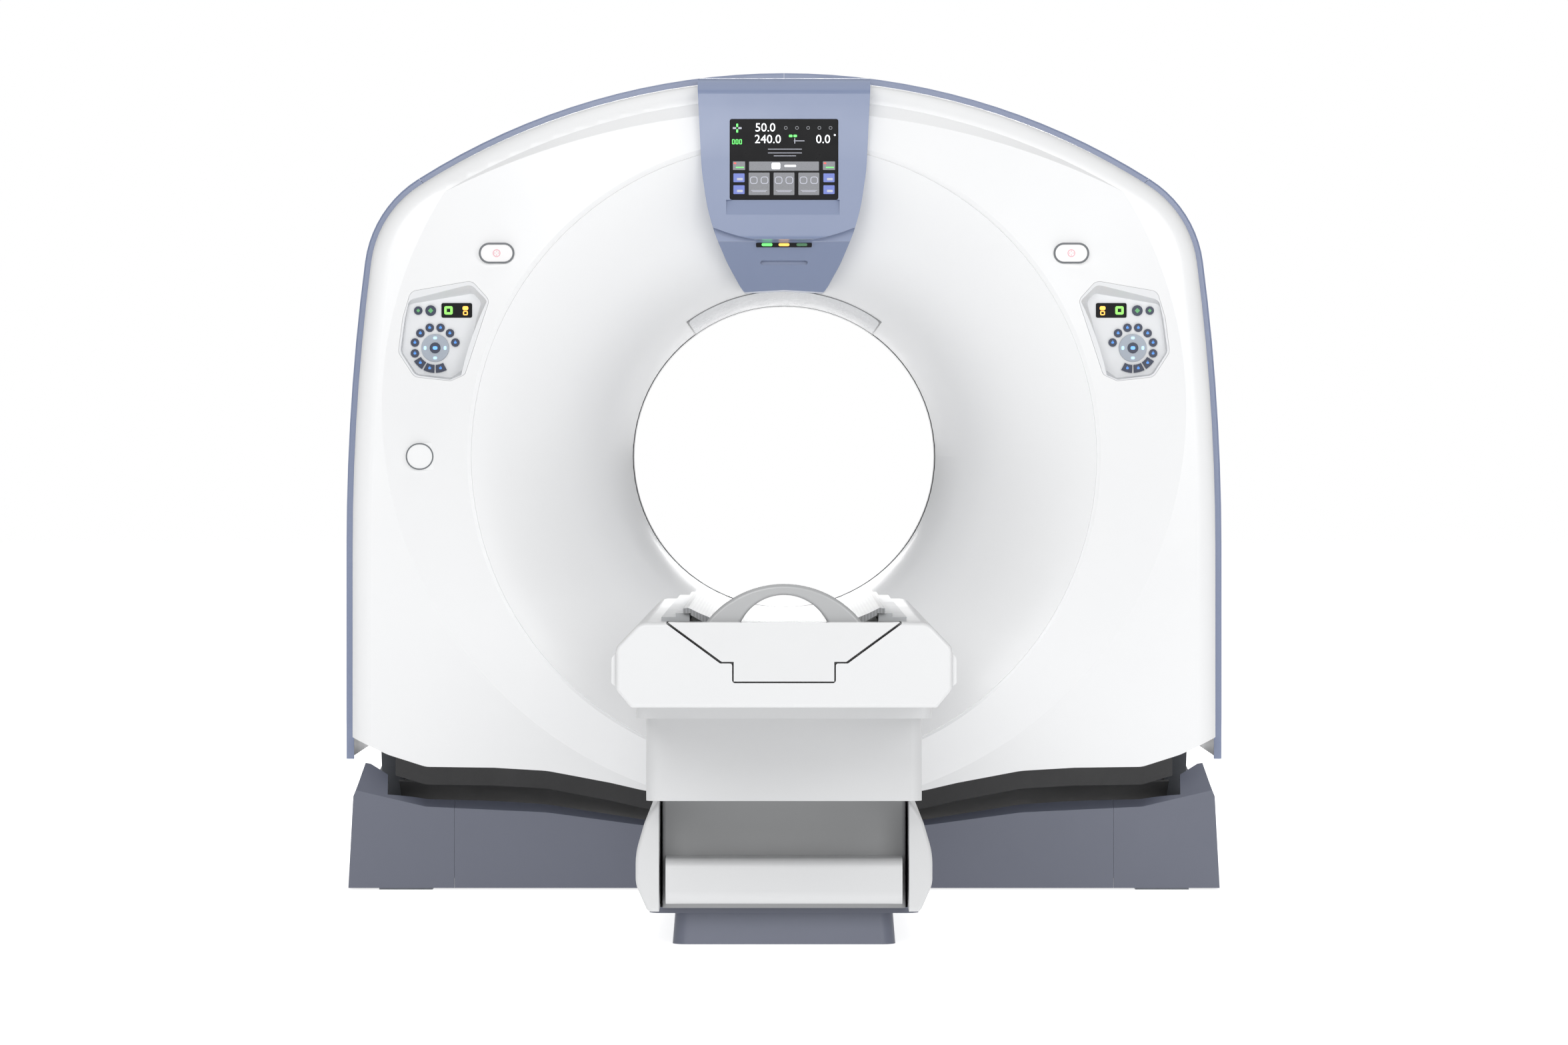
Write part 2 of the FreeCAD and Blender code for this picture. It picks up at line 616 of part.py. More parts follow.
def tilt_drive():
    """Toothed sector on the left arm and the pinion that walks along it."""
    r = gear_module * sector_teeth / 2
    x0 = -(upright_x - arm_gap + gear_w)
    x1 = x0 + gear_w
    step = 360.0 / sector_teeth
    root, tip = r - 1.25 * gear_module, r + 0.9 * gear_module
    plate = Part.makeCylinder(root, gear_w, V(x0, 0, iso_z), V(1, 0, 0))
    fan = prism_yz([(0, iso_z), (-400, iso_z - 400), (0, iso_z - 500), (400, iso_z - 400)], x0, x1)
    plate = plate.common(fan).fuse(Part.makeCylinder(110, gear_w, V(x0, 0, iso_z), V(1, 0, 0)))
    plate = plate.cut(Part.makeCylinder(trunnion_r, 100, V(x0 - 20, 0, iso_z), V(1, 0, 0)))
    count = 14
    teeth = tooth_ring(sector_teeth, [-90 + step * i for i in range(-count, count + 1)], iso_z, root, tip, x0, x1)
    save("tilt_sector", plate.fuse(teeth).removeSplitter())
    rp = gear_module * pinion_teeth / 2
    own = 360.0 / pinion_teeth
    gear = Part.makeCylinder(rp - 1.25 * gear_module, gear_w, V(x0, 0, pinion_z()), V(1, 0, 0))
    gear = gear.fuse(tooth_ring(pinion_teeth, [90 + own / 2 + own * i for i in range(pinion_teeth)], pinion_z(),
                                rp - 1.25 * gear_module, rp + 0.9 * gear_module, x0, x1))
    gear = gear.cut(Part.makeCylinder(9, 100, V(x0 - 20, 0, pinion_z()), V(1, 0, 0)))
    shaft = Part.makeCylinder(9, gear_w + 6, V(x0, 0, pinion_z()), V(1, 0, 0))
    save("tilt_pinion", gear.fuse(shaft).removeSplitter())
    motor = Part.makeCylinder(45, 70, V(x1 + 4, 0, pinion_z()), V(1, 0, 0))
    motor = motor.fuse(box(x1 + 4, x1 + 40, -50, 50, pinion_z() - 50, pinion_z() + 40))
    motor = motor.cut(Part.makeCylinder(9 + shaft_gap, 20, V(x1, 0, pinion_z()), V(1, 0, 0)))
    save("tilt_gearmotor", motor)


def outer_race_r():
    """Inner radius of the drum bearing's outer race."""
    return race_in_r + race_t + 2 * (ball_r + tilt_gap)


def tilt_frame():
    """Ring plate that carries the drum bearing, with side arms and trunnion pins."""
    y0, y1 = frame_ring_y, frame_ring_y + frame_ring_t
    seat = outer_race_r() + race_t
    frame = ring(seat, frame_ring_r, y0, y1)
    arm = box(frame_ring_r - 30, upright_x - arm_gap, -60, y1, iso_z - 150, iso_z + 150)
    hollow = box(frame_ring_r - 5, upright_x - arm_gap - 6, -40, y0 - 10, iso_z - 130, iso_z + 130)
    arm = arm.cut(hollow)
    arm = arm.cut(ring(100, frame_ring_r - 4, -80, y0))
    pin = Part.makeCylinder(trunnion_r, upright_t + arm_gap + 4, V(upright_x - arm_gap, 0, iso_z), V(1, 0, 0))
    side_tie = box(600, gantry_half, y0, y1, iso_z + 380, iso_z + 420)
    lobe = disc(motor_x, motor_z, 95, y0, y1)
    right = arm.fuse([pin, side_tie])
    top_tie = box(-40, 40, y0, y1, iso_z + seat + 20, gantry_top - band_wall)
    frame = frame.fuse([right, mirror_x(right), lobe, top_tie])
    frame = frame.cut(disc(motor_x, motor_z, 14, y0 - 1, y1 + 1))
    frame = frame.common(contour_prism(band_wall + 0.2, -400, 400, 150))
    save("tilt_frame", frame.removeSplitter())
    save("bearing_outer_race", ring(outer_race_r(), seat, race_y, race_y + race_w))
    motor = disc(motor_x, motor_z, 70, y1, y1 + 150).fuse(disc(motor_x, motor_z, 12, belt_y, y1))
    motor = motor.common(box(0, 1000, frame_ring_y - 20, 500, 0, 2000))
    save("rotor_motor", motor)
    block = box(-45, 45, drum_y, y0, iso_z + drum_r + 12 + tilt_gap, iso_z + frame_ring_r - 4)
    block.rotate(V(0, 0, iso_z), ALONG, 60)
    save("brush_block", block)
    belt()


def belt():
    """Flat belt from the motor pulley round the drum's rim."""
    reach = math.hypot(motor_x, motor_z - iso_z)
    heading = math.degrees(math.atan2(motor_z - iso_z, motor_x))

    def loop(grow):
        big, small = drum_r + tilt_gap + grow, pulley_r + tilt_gap + grow
        spread = math.degrees(math.acos((big - small) / reach))
        a, b = polar(big, heading + spread), polar(big, heading - spread)
        move = V(motor_x, 0, motor_z - iso_z)
        c, d = polar(small, heading - spread) + move, polar(small, heading + spread) + move
        far, near = polar(big, heading + 180), polar(small, heading) + move
        edges = [Part.Arc(a, far, b), Part.LineSegment(b, c), Part.Arc(c, near, d), Part.LineSegment(d, a)]
        face = Part.Face(Part.Wire([e.toShape() for e in edges]))
        face.translate(V(0, belt_y, 0))
        return face.extrude(V(0, belt_w, 0))

    save("drive_belt", loop(belt_t).cut(loop(0)))
    wheel = disc(motor_x, motor_z, pulley_r, belt_y - 2, belt_y + belt_w + 2)
    wheel = wheel.fuse(ring(0.1, pulley_r + 8, belt_y + belt_w + 2, belt_y + belt_w + 6, motor_x, motor_z))
    shaft = disc(motor_x, motor_z, 12, belt_y + belt_w + 2, frame_ring_y - 20 - tilt_gap)
    save("motor_pulley", wheel.fuse(shaft).removeSplitter())


# ---- rotating drum ----

def sector(r0, r1, middle, half, y0, y1):
    """Block between two radii, spanning middle +- half degrees."""
    a, b, m = middle - half, middle + half, middle
    edges = [Part.Arc(polar(r0, a, y0), polar(r0, m, y0), polar(r0, b, y0)),
             Part.LineSegment(polar(r0, b, y0), polar(r1, b, y0)),
             Part.Arc(polar(r1, b, y0), polar(r1, m, y0), polar(r1, a, y0)),
             Part.LineSegment(polar(r1, a, y0), polar(r0, a, y0))]
    return Part.Face(Part.Wire([e.toShape() for e in edges])).extrude(V(0, y1 - y0, 0))


def drum():
    plate = ring(drum_in_r, drum_r, drum_y, drum_y + drum_t)
    rim = ring(drum_r - 8, drum_r, 10, drum_y)
    hub = ring(drum_in_r, race_in_r, drum_y, race_y + race_w)
    plate = plate.fuse([rim, hub])
    for angle in range(15, 360, 30):
        centre = polar(drum_r - 140, angle)
        plate = plate.cut(disc(centre.x, centre.z, 38, drum_y - 1, drum_y + drum_t + 1))
    save("rotor_drum", plate.removeSplitter())
    save("bearing_inner_race", ring(race_in_r, race_in_r + race_t, race_y, race_y + race_w))
    ball_path = race_in_r + race_t + ball_r + tilt_gap
    mid_y = race_y + race_w / 2
    cage = ring(ball_path - 5, ball_path + 5, mid_y - 14, mid_y + 14)
    balls = []
    for i in range(ball_count):
        p = polar(ball_path, 360.0 * i / ball_count, mid_y)
        cage = cage.cut(Part.makeCylinder(ball_r + tilt_gap, 40, polar(ball_path - 20, 360.0 * i / ball_count, mid_y),
                                          V(p.x, 0, p.z - iso_z)))
        balls.append(Part.makeSphere(ball_r, p))
    save("bearing_cage", cage, *balls)
    save("slip_ring", ring(drum_r, drum_r + 12, drum_y, drum_y + drum_t))
    rim_r = drum_r - drum_edge
    tube_z = iso_z + drum_r - tube_depth
    port_z = tube_z - 96
    tube = disc(0, tube_z, 95, -150, drum_y)
    tube = tube.fuse(Part.makeCylinder(30, 150, V(-75, -60, tube_z), V(1, 0, 0)))
    tube = tube.fuse(box(-70, 70, -70, 40, port_z, tube_z - 30))
    save("xray_tube", tube.common(ring(drum_in_r + 10, drum_r - 10, -300, 200)).removeSplitter())
    slot = box(-40, 40, -30, 30, iso_z, port_z + 16)
    head = box(-110, 110, -60, drum_y, port_z - 69, port_z).cut(slot)
    save("collimator", head)
    save("detector_arc", sector(rim_r - 100, rim_r - 5, -90, 30, -60, drum_y))
    save("hv_generator", sector(drum_in_r + 60, rim_r, 0, 21, -150, drum_y))
    save("heat_exchanger", sector(drum_in_r + 70, rim_r, 150, 19, -140, drum_y))
    save("drum_electronics", sector(drum_in_r + 70, rim_r, 195, 17, -120, drum_y),
         sector(drum_in_r + 70, rim_r, 45, 12, -100, drum_y))
    save("balance_weight", sector(rim_r - 85, rim_r, -40, 9, -80, drum_y))


def bore_window():
    front_throat = -bell_profile(ridge_r, ridge_y, 0)[1]
    rear_throat = bell_profile(rear_ridge_r, rear_ridge_y, 0)[1]
    tube = ring(bore_r, bore_r + 4, front_throat, rear_throat)
    save("bore_window", tube)


# ---- patient table ----

def trough(grow):
    """Outline of the cradle's end cap, grown outwards for the slot it runs in."""
    g = grow
    return [(0, tongue_low - g), (tongue_half + g, tongue_low - g, 6), (tongue_half + g, ledge_z - g, 4),
            (ledge_half + g, ledge_z - g, 4), (cap_half + g, body_top - g)]


def table_body():
    outer = [(0, body_low), (skirt_half, body_low, 8), (body_half, body_low + 34, 22), (body_half, 618, 18),
             (264, body_top, 30), (0, body_top)]
    inner = [(0, body_low + wall), (skirt_half - 2, body_low + wall, 6), (body_half - wall, body_low + 36, 18),
             (body_half - wall, 616, 15), (262, body_top - wall, 27), (0, body_top - wall)]
    cut_top = [(cap_half + cap_gap + 4, body_top + 10), (0, body_top + 10)]
    channel = prism_xz(mirrored(trough(cap_gap) + cut_top), foot_y - 1, head_y + 1)
    lining = prism_xz(mirrored(trough(cap_gap + wall - 1) + [(cap_half + 12, body_top + 10), (0, body_top + 10)]),
                      foot_y - 1, head_y + 1)
    shell = prism_xz(mirrored(outer), foot_y, head_y)
    ends = [e for e in shell.Edges if e.BoundBox.YLength < 0.1 and e.BoundBox.YMax < foot_y + 1]
    shell = shell.makeFillet(end_round, ends)
    void = prism_xz(mirrored(inner), foot_y + wall, head_y - wall).cut(lining)
    opening = box(-269, 269, skirt_y[0] + 196, skirt_y[1] - 46, body_low - 1, body_low + wall + 1)
    body = shell.cut(void).cut(channel).cut(opening)
    save("table_body_cover", body.removeSplitter())
    strip = prism_xz([(body_half, 546), (body_half + strip_t, 552, 3), (body_half + strip_t, 598, 5),
                      (body_half, 610)], foot_y + 12, head_y)
    save("table_side_strips", strip, mirror_x(strip))
    y0, y1 = skirt_y
    loop = prism_xy(rectangle(-skirt_half, skirt_half, y0, y1, 20), skirt_low, body_low)
    save("table_skirt", loop.cut(prism_xy(rectangle(-skirt_half + wall, skirt_half - wall, y0 + wall, y1 - wall, 16),
                                          skirt_low - 1, body_low + 1)))
    beam = box(110, 234, foot_y + 160, head_y - 30, 548, 580)
    beam = beam.cut(box(114, 230, foot_y + 100, head_y, 552, 574))
    frame = beam.fuse(mirror_x(beam))
    for y in (-2520, -900):
        frame = frame.fuse(box(-222, 222, y - 18, y + 18, body_low + wall, 550))
    for side in (-1, 1):
        x, w, d = side * column_x, column_w / 2, column_d / 2
        frame = frame.cut(box(x - w - 6, x + w + 6, column_y - d - 6, column_y + d + 6, 540, 578))
        frame = frame.fuse(box(x - w - 6, x + w + 6, column_y - d - 20, column_y + d + 20, 578, 583))
    save("table_frame", frame.removeSplitter())
    rail = box(board_half + 2, 226, foot_y + 80, head_y, body_top, rail_top)
    rail = rail.cut(box(200, 230, foot_y, 0, body_top + 8, rail_top + 1))
    save("cradle_rails", rail, mirror_x(rail))


def nested_cover(half, y0, y1, z0, z1, t=3.0, r=20.0):
    """Open-ended rectangular sleeve with rounded corners."""
    loop = prism_xy(rectangle(-half, half, y0, y1, r), z0, z1)
    return loop.cut(prism_xy(rectangle(-half + t, half - t, y0 + t, y1 - t, r - t), z0 - 1, z1 + 1))


upper_low, upper_top = 304.0, 474.0
upper_half, upper_rear_half = 266.5, 244.5
lower_half = 292.0
lower_front_y, lower_rear_y = -2000.0, -1000.0


def table_covers():
    """Telescoping covers between the floor and the table body."""
    step_y = lower_front_y - 10
    y0, y1 = skirt_y[0] + 200, skirt_y[1] - 50
    plan = [(0, y0), (upper_half, y0, 22), (upper_half, step_y, 4), (upper_rear_half, step_y, 4),
            (upper_rear_half, y1, 18), (0, y1)]
    t = 3.0
    inside = [(0, y0 + t), (upper_half - t, y0 + t, 19), (upper_half - t, step_y - t, 2),
              (upper_rear_half - t, step_y - t, 4), (upper_rear_half - t, y1 - t, 15), (0, y1 - t)]
    upper = prism_xy(mirrored(plan), upper_low, upper_top)
    save("lift_cover_upper", upper.cut(prism_xy(mirrored(inside), upper_low - 1, upper_top + 1)))
    save("lift_cover_inner", nested_cover(233, -1880, -1010, 300, 548, 3, 12))
    panel = nested_cover(upper_rear_half - t - 0.4, -1900, lower_rear_y, plinth_top, 378, 3, 8)
    save("pedestal_panel", panel)
    side = [(246, plinth_top), (268, plinth_top, 12), (lower_half, 128, 60), (lower_half, 190, 150),
            (272, 258, 90), (246, 295)]
    cover = prism_xz(side, lower_front_y, lower_rear_y)
    ends = [e for e in cover.Edges if e.BoundBox.YLength < 0.1 and e.BoundBox.XMax > 247]
    cover = cover.makeFillet(8.0, ends)
    pocket = prism_xz([(252, 82), (264, 82), (lower_half - 8, 131), (lower_half - 8, 188), (266, 254), (252, 274)],
                      lower_front_y + 12, lower_rear_y - 12)
    cover = cover.cut(pocket)
    save("lower_side_covers", cover, mirror_x(cover))
    front = prism_yz([(lower_front_y + 100, 88, 4), (lower_front_y, 88, 26), (lower_front_y, 179, 20),
                      (lower_front_y + 100, 179, 4)], -233, 233)
    hollow = prism_yz([(lower_front_y + 100.5, 91), (lower_front_y + 4, 91, 20), (lower_front_y + 4, 176, 16),
                       (lower_front_y + 100.5, 176)], -229, 229)
    save("lower_front_cover", front.cut(hollow))


def table_base():
    """Floor plinth with four anchor holes, and the two telescopic lift columns."""
    top, low = plinth_half
    y0, y1 = plinth_y
    foot = Part.makeLoft([wire_flat(low, y0, y1, 0), wire_flat(top, y0 + 5, y1 - 5, 62)], True, True)
    deck = prism_xy(rectangle(-268, 268, y0 + 3, lower_rear_y - 5, 25), 62, plinth_top)
    foot = foot.fuse(deck)
    foot = foot.cut(box(-low + 14, low - 14, y0 + 20, y1 - 20, -1, 50))
    for x in (-150, 150):
        for y in (y0 + 90, y1 - 90):
            foot = foot.cut(Part.makeCylinder(anchor_r, 100, V(x, y, -1)))
    save("table_plinth", foot.removeSplitter())
    step = 8.0 + 0.4
    stages = (("lift_column_outer", 0.0, plinth_top, 430.0), ("lift_column_middle", step, 150.0, 490.0),
              ("lift_column_inner", 2 * step, 220.0, 578.0))
    for name, shrink, z0, z1 in stages:
        w, d = column_w / 2 - shrink, column_d / 2 - shrink
        tube = prism_xy(rectangle(column_x - w, column_x + w, column_y - d, column_y + d, 6), z0, z1)
        tube = tube.cut(prism_xy(rectangle(column_x - w + 8, column_x + w - 8, column_y - d + 8, column_y + d - 8, 2),
                                 z0 - 1, z1 + 1))
        save(name, tube, mirror_x(tube))


def wire_flat(half, y0, y1, z):
    return rounded_wire(rectangle(-half, half, y0, y1, 30), lambda u, v: V(u, v, z))


def cradle():
    """Carbon board, its foot-end cap with the grab handle, and the wheels it runs on."""
    under = V(0, 0, iso_z - board_r)
    edge_z = iso_z - math.sqrt(board_r ** 2 - board_half ** 2)
    y0, y1 = foot_y + cap_depth, head_y
    face_y = V(0, y0, 0)
    lip = rail_top + tilt_gap
    points = [V(-board_half, 0, edge_z), under, V(board_half, 0, edge_z), V(board_half, 0, lip),
              V(flange_half, 0, lip), V(flange_half, 0, lip + 9), V(board_half + 4, 0, lip + 10)]
    points = [p + face_y for p in points]
    flip = [V(-p.x, p.y, p.z) for p in reversed(points[3:])]
    low = V(0, y0, under.z + 16)
    edges = [Part.Arc(points[0], points[1], points[2])]
    chain = points[2:]
    edges += [Part.LineSegment(chain[i], chain[i + 1]) for i in range(len(chain) - 1)]
    edges += [Part.Arc(chain[-1], low, flip[0])]
    back = flip + [points[0]]
    edges += [Part.LineSegment(back[i], back[i + 1]) for i in range(len(back) - 1)]
    face = Part.Face(Part.Wire([e.toShape() for e in edges]))
    save("cradle_board", face.extrude(V(0, y1 - y0, 0)))
    cap = prism_xz(mirrored([p[:2] for p in trough(0)]), foot_y, y0)
    arch = arch_face(143, 70, foot_y + 14).extrude(V(0, 36, 0)).cut(arch_face(79, 50, foot_y).extrude(V(0, 80, 0)))
    arch = arch.common(box(-200, 200, foot_y, 0, body_top, 900))
    crown = [e for e in arch.Edges if e.BoundBox.YLength < 0.1 and e.BoundBox.ZMax > body_top + 45]
    arch = arch.makeFillet(7.0, crown)
    save("cradle_end_cap", cap.fuse(arch).removeSplitter())
    wheel_z = iso_z - board_r - tilt_gap - roller_r
    y = head_y - 120
    wheel = Part.makeCylinder(roller_r, 60, V(-30, y, wheel_z), V(1, 0, 0))
    axle = Part.makeCylinder(8, 92, V(-50, y, wheel_z), V(1, 0, 0))
    save("cradle_drive_wheel", wheel.fuse(axle))
    hole = Part.makeCylinder(8 + shaft_gap, 110, V(-60, y, wheel_z), V(1, 0, 0))
    mount = box(-56, 56, y - 24, y + 24, tongue_low - cap_gap, tongue_low + 5)
    for side in (-1, 1):
        mount = mount.fuse(box(side * 46 - 10, side * 46 + 10, y - 14, y + 14, tongue_low, wheel_z + 14))
    mount = mount.fuse(Part.makeCylinder(22, 30, V(56, y, wheel_z), V(1, 0, 0)))
    save("cradle_drive_mount", mount.cut(hole))


def arch_face(half, height, y):
    """Circular segment that stands on the end cap."""
    edges = [Part.Arc(V(-half, y, body_top), V(0, y, body_top + height), V(half, y, body_top)),
             Part.LineSegment(V(half, y, body_top), V(-half, y, body_top))]
    return Part.Face(Part.Wire([e.toShape() for e in edges]))


def main():
    os.makedirs("parts", exist_ok=True)
    rim_covers()
    front_face()
    save("rear_cover", face_cover(rear_numbers, rear_low))
    bore_window()
    belly_pan()
    base_frame()
    base_covers()
    cable_duct()
    tilt_frame()
    tilt_drive()
    drum()
    table_body()
    table_covers()
    table_base()
    cradle()


main()
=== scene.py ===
import json
import math

import bmesh
import bpy
from mathutils import Matrix, Vector


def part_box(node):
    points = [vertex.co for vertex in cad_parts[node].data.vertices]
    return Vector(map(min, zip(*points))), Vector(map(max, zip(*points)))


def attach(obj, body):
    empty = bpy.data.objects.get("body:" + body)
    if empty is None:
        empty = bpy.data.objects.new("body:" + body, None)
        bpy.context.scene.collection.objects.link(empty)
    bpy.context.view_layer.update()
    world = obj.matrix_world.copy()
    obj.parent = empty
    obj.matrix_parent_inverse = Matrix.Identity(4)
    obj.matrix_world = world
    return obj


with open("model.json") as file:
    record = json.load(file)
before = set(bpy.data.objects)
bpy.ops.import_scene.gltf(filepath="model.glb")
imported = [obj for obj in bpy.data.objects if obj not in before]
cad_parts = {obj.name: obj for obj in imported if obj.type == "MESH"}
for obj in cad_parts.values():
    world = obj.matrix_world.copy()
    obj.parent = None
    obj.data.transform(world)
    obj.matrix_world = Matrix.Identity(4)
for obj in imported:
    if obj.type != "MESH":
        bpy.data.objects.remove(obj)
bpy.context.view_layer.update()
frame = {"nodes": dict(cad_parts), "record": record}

nodes = frame["nodes"]
cos, sin, pi = math.cos, math.sin, math.pi
print("frame loaded")


def addNode(tree, kind, **values):
    node = tree.nodes.new(kind)
    for name, value in values.items():
        setattr(node, name, value)
    return node


def groupTree(name, inputs, outputs):
    tree = bpy.data.node_groups.new(name, "ShaderNodeTree")
    for label, kind, value in inputs:
        socket = tree.interface.new_socket(label, in_out="INPUT", socket_type=kind)
        socket.default_value = value
    for label, kind in outputs:
        tree.interface.new_socket(label, in_out="OUTPUT", socket_type=kind)
    start = addNode(tree, "NodeGroupInput")
    end = addNode(tree, "NodeGroupOutput")
    return tree, start, end


def noiseAt(tree, scale, detail=3.0, roughness=0.5):
    place = addNode(tree, "ShaderNodeTexCoord")
    noise = addNode(tree, "ShaderNodeTexNoise")
    noise.inputs["Scale"].default_value = scale
    noise.inputs["Detail"].default_value = detail
    noise.inputs["Roughness"].default_value = roughness
    tree.links.new(place.outputs["Object"], noise.inputs["Vector"])
    return noise.outputs["Fac"]


def remap(tree, value, low, high, fromLow=0.3, fromHigh=0.7):
    node = addNode(tree, "ShaderNodeMapRange")
    node.inputs["From Min"].default_value = fromLow
    node.inputs["From Max"].default_value = fromHigh
    node.inputs["To Min"].default_value = low
    node.inputs["To Max"].default_value = high
    tree.links.new(value, node.inputs["Value"])
    return node.outputs["Result"]


def mixColor(tree, factor, first, second):
    node = addNode(tree, "ShaderNodeMix", data_type="RGBA")
    for socket, value in ((node.inputs[0], factor), (node.inputs[6], first), (node.inputs[7], second)):
        if isinstance(value, bpy.types.NodeSocket):
            tree.links.new(value, socket)
        else:
            socket.default_value = value
    return node.outputs[2]


def mathNode(tree, operation, *values):
    node = addNode(tree, "ShaderNodeMath", operation=operation)
    for socket, value in zip(node.inputs, values):
        if isinstance(value, bpy.types.NodeSocket):
            tree.links.new(value, socket)
        else:
            socket.default_value = value
    return node.outputs[0]


mouldedLook = {"driftScale": 2.3, "speckScale": 420.0, "smearScale": 6.0, "cellScale": 900.0,
               "cellShare": 0.7, "fineScale": 1600.0, "fineShare": 0.3}


def mouldedGroup():
    # fine leather-like grain, faint colour drift and worn gloss of a moulded cover
    tree, start, end = groupTree("mouldedSkin", [
        ("Color", "NodeSocketColor", (0.8, 0.8, 0.8, 1)), ("Shade", "NodeSocketColor", (0.7, 0.7, 0.7, 1)),
        ("Roughness", "NodeSocketFloat", 0.4), ("Grain", "NodeSocketFloat", 1.0)],
        [("Color", "NodeSocketColor"), ("Roughness", "NodeSocketFloat"), ("Height", "NodeSocketFloat")])
    drift = remap(tree, noiseAt(tree, mouldedLook["driftScale"], 4), 0.0, 0.35)
    speck = remap(tree, noiseAt(tree, mouldedLook["speckScale"], 2), 0.0, 0.06, 0.45, 0.7)
    tree.links.new(mixColor(tree, mathNode(tree, "ADD", drift, speck), start.outputs[0], start.outputs[1]),
                   end.inputs[0])
    smear = remap(tree, noiseAt(tree, mouldedLook["smearScale"], 5, 0.65), -0.05, 0.07)
    tree.links.new(mathNode(tree, "ADD", start.outputs[2], smear), end.inputs[1])
    grain = addNode(tree, "ShaderNodeTexVoronoi", feature="SMOOTH_F1")
    grain.inputs["Scale"].default_value = mouldedLook["cellScale"]
    place = addNode(tree, "ShaderNodeTexCoord")
    tree.links.new(place.outputs["Object"], grain.inputs["Vector"])
    cells = mathNode(tree, "MULTIPLY", grain.outputs["Distance"], mouldedLook["cellShare"])
    dust = mathNode(tree, "MULTIPLY", noiseAt(tree, mouldedLook["fineScale"], 2), mouldedLook["fineShare"])
    fine = mathNode(tree, "ADD", cells, dust)
    tree.links.new(mathNode(tree, "MULTIPLY", fine, start.outputs[3]), end.inputs[2])
    return tree


metalLook = {"streakScale": 60.0, "streakDetail": 6.0, "blotchScale": 5.0}


def metalGroup():
    # machined or painted metal: directional streaks, blotches and dulled patches
    tree, start, end = groupTree("metalSkin", [
        ("Color", "NodeSocketColor", (0.5, 0.5, 0.5, 1)), ("Shade", "NodeSocketColor", (0.4, 0.4, 0.4, 1)),
        ("Roughness", "NodeSocketFloat", 0.4), ("Stretch", "NodeSocketVector", (1, 1, 1))],
        [("Color", "NodeSocketColor"), ("Roughness", "NodeSocketFloat"), ("Height", "NodeSocketFloat")])
    place = addNode(tree, "ShaderNodeTexCoord")
    turn = addNode(tree, "ShaderNodeVectorMath", operation="MULTIPLY")
    tree.links.new(place.outputs["Object"], turn.inputs[0])
    tree.links.new(start.outputs[3], turn.inputs[1])
    streak = addNode(tree, "ShaderNodeTexNoise")
    streak.inputs["Scale"].default_value = metalLook["streakScale"]
    streak.inputs["Detail"].default_value = metalLook["streakDetail"]
    tree.links.new(turn.outputs[0], streak.inputs["Vector"])
    blotch = remap(tree, noiseAt(tree, metalLook["blotchScale"], 5, 0.6), 0.0, 0.7)
    both = mathNode(tree, "MULTIPLY", blotch, remap(tree, streak.outputs["Fac"], 0.4, 1.0))
    tree.links.new(mixColor(tree, both, start.outputs[0], start.outputs[1]), end.inputs[0])
    tree.links.new(mathNode(tree, "ADD", start.outputs[2], remap(tree, streak.outputs["Fac"], -0.08, 0.12)),
                   end.inputs[1])
    tree.links.new(streak.outputs["Fac"], end.inputs[2])
    return tree


mouldedSkin = mouldedGroup()
metalSkin = metalGroup()


def newMaterial(name, roughness=0.5, metallic=0.0, coat=0.0, specular=0.5):
    material = bpy.data.materials.new(name)
    material.use_nodes = True
    tree = material.node_tree
    shader = tree.nodes["Principled BSDF"]
    shader.inputs["Roughness"].default_value = roughness
    shader.inputs["Metallic"].default_value = metallic
    shader.inputs["Coat Weight"].default_value = coat
    shader.inputs["Coat Roughness"].default_value = 0.18
    shader.inputs["Specular IOR Level"].default_value = specular
    return material, tree, shader


def dress(name, group, color, shade, roughness, extra, bump, depth, **look):
    material, tree, shader = newMaterial(name, roughness, **look)
    skin = addNode(tree, "ShaderNodeGroup", node_tree=group)
    skin.inputs[0].default_value = (*color, 1)
    skin.inputs[1].default_value = (*shade, 1)
    skin.inputs[2].default_value = roughness
    skin.inputs[3].default_value = extra
    tree.links.new(skin.outputs[0], shader.inputs["Base Color"])
    tree.links.new(skin.outputs[1], shader.inputs["Roughness"])
    relief = addNode(tree, "ShaderNodeBump")
    relief.inputs["Strength"].default_value = bump
    relief.inputs["Distance"].default_value = depth
    tree.links.new(skin.outputs[2], relief.inputs["Height"])
    tree.links.new(relief.outputs[0], shader.inputs["Normal"])
    return material


grainDepth = {"moulded": 0.0004, "metal": 0.0006}


def moulded(name, color, shade, roughness=0.38, grain=1.0, bump=0.12, coat=0.0):
    return dress(name, mouldedSkin, color, shade, roughness, grain, bump, grainDepth["moulded"], coat=coat)


def metal(name, color, shade, roughness=0.35, stretch=(1, 1, 8), metallic=1.0, bump=0.08):
    return dress(name, metalSkin, color, shade, roughness, stretch, bump, grainDepth["metal"],
                 metallic=metallic)


def glowing(name, color, strength, roughness=0.3):
    material, tree, shader = newMaterial(name, roughness)
    shader.inputs["Base Color"].default_value = (*color, 1)
    shader.inputs["Emission Color"].default_value = (*color, 1)
    shader.inputs["Emission Strength"].default_value = strength
    speck = remap(tree, noiseAt(tree, 700.0, 1), roughness - 0.05, roughness + 0.05)
    tree.links.new(speck, shader.inputs["Roughness"])
    return material


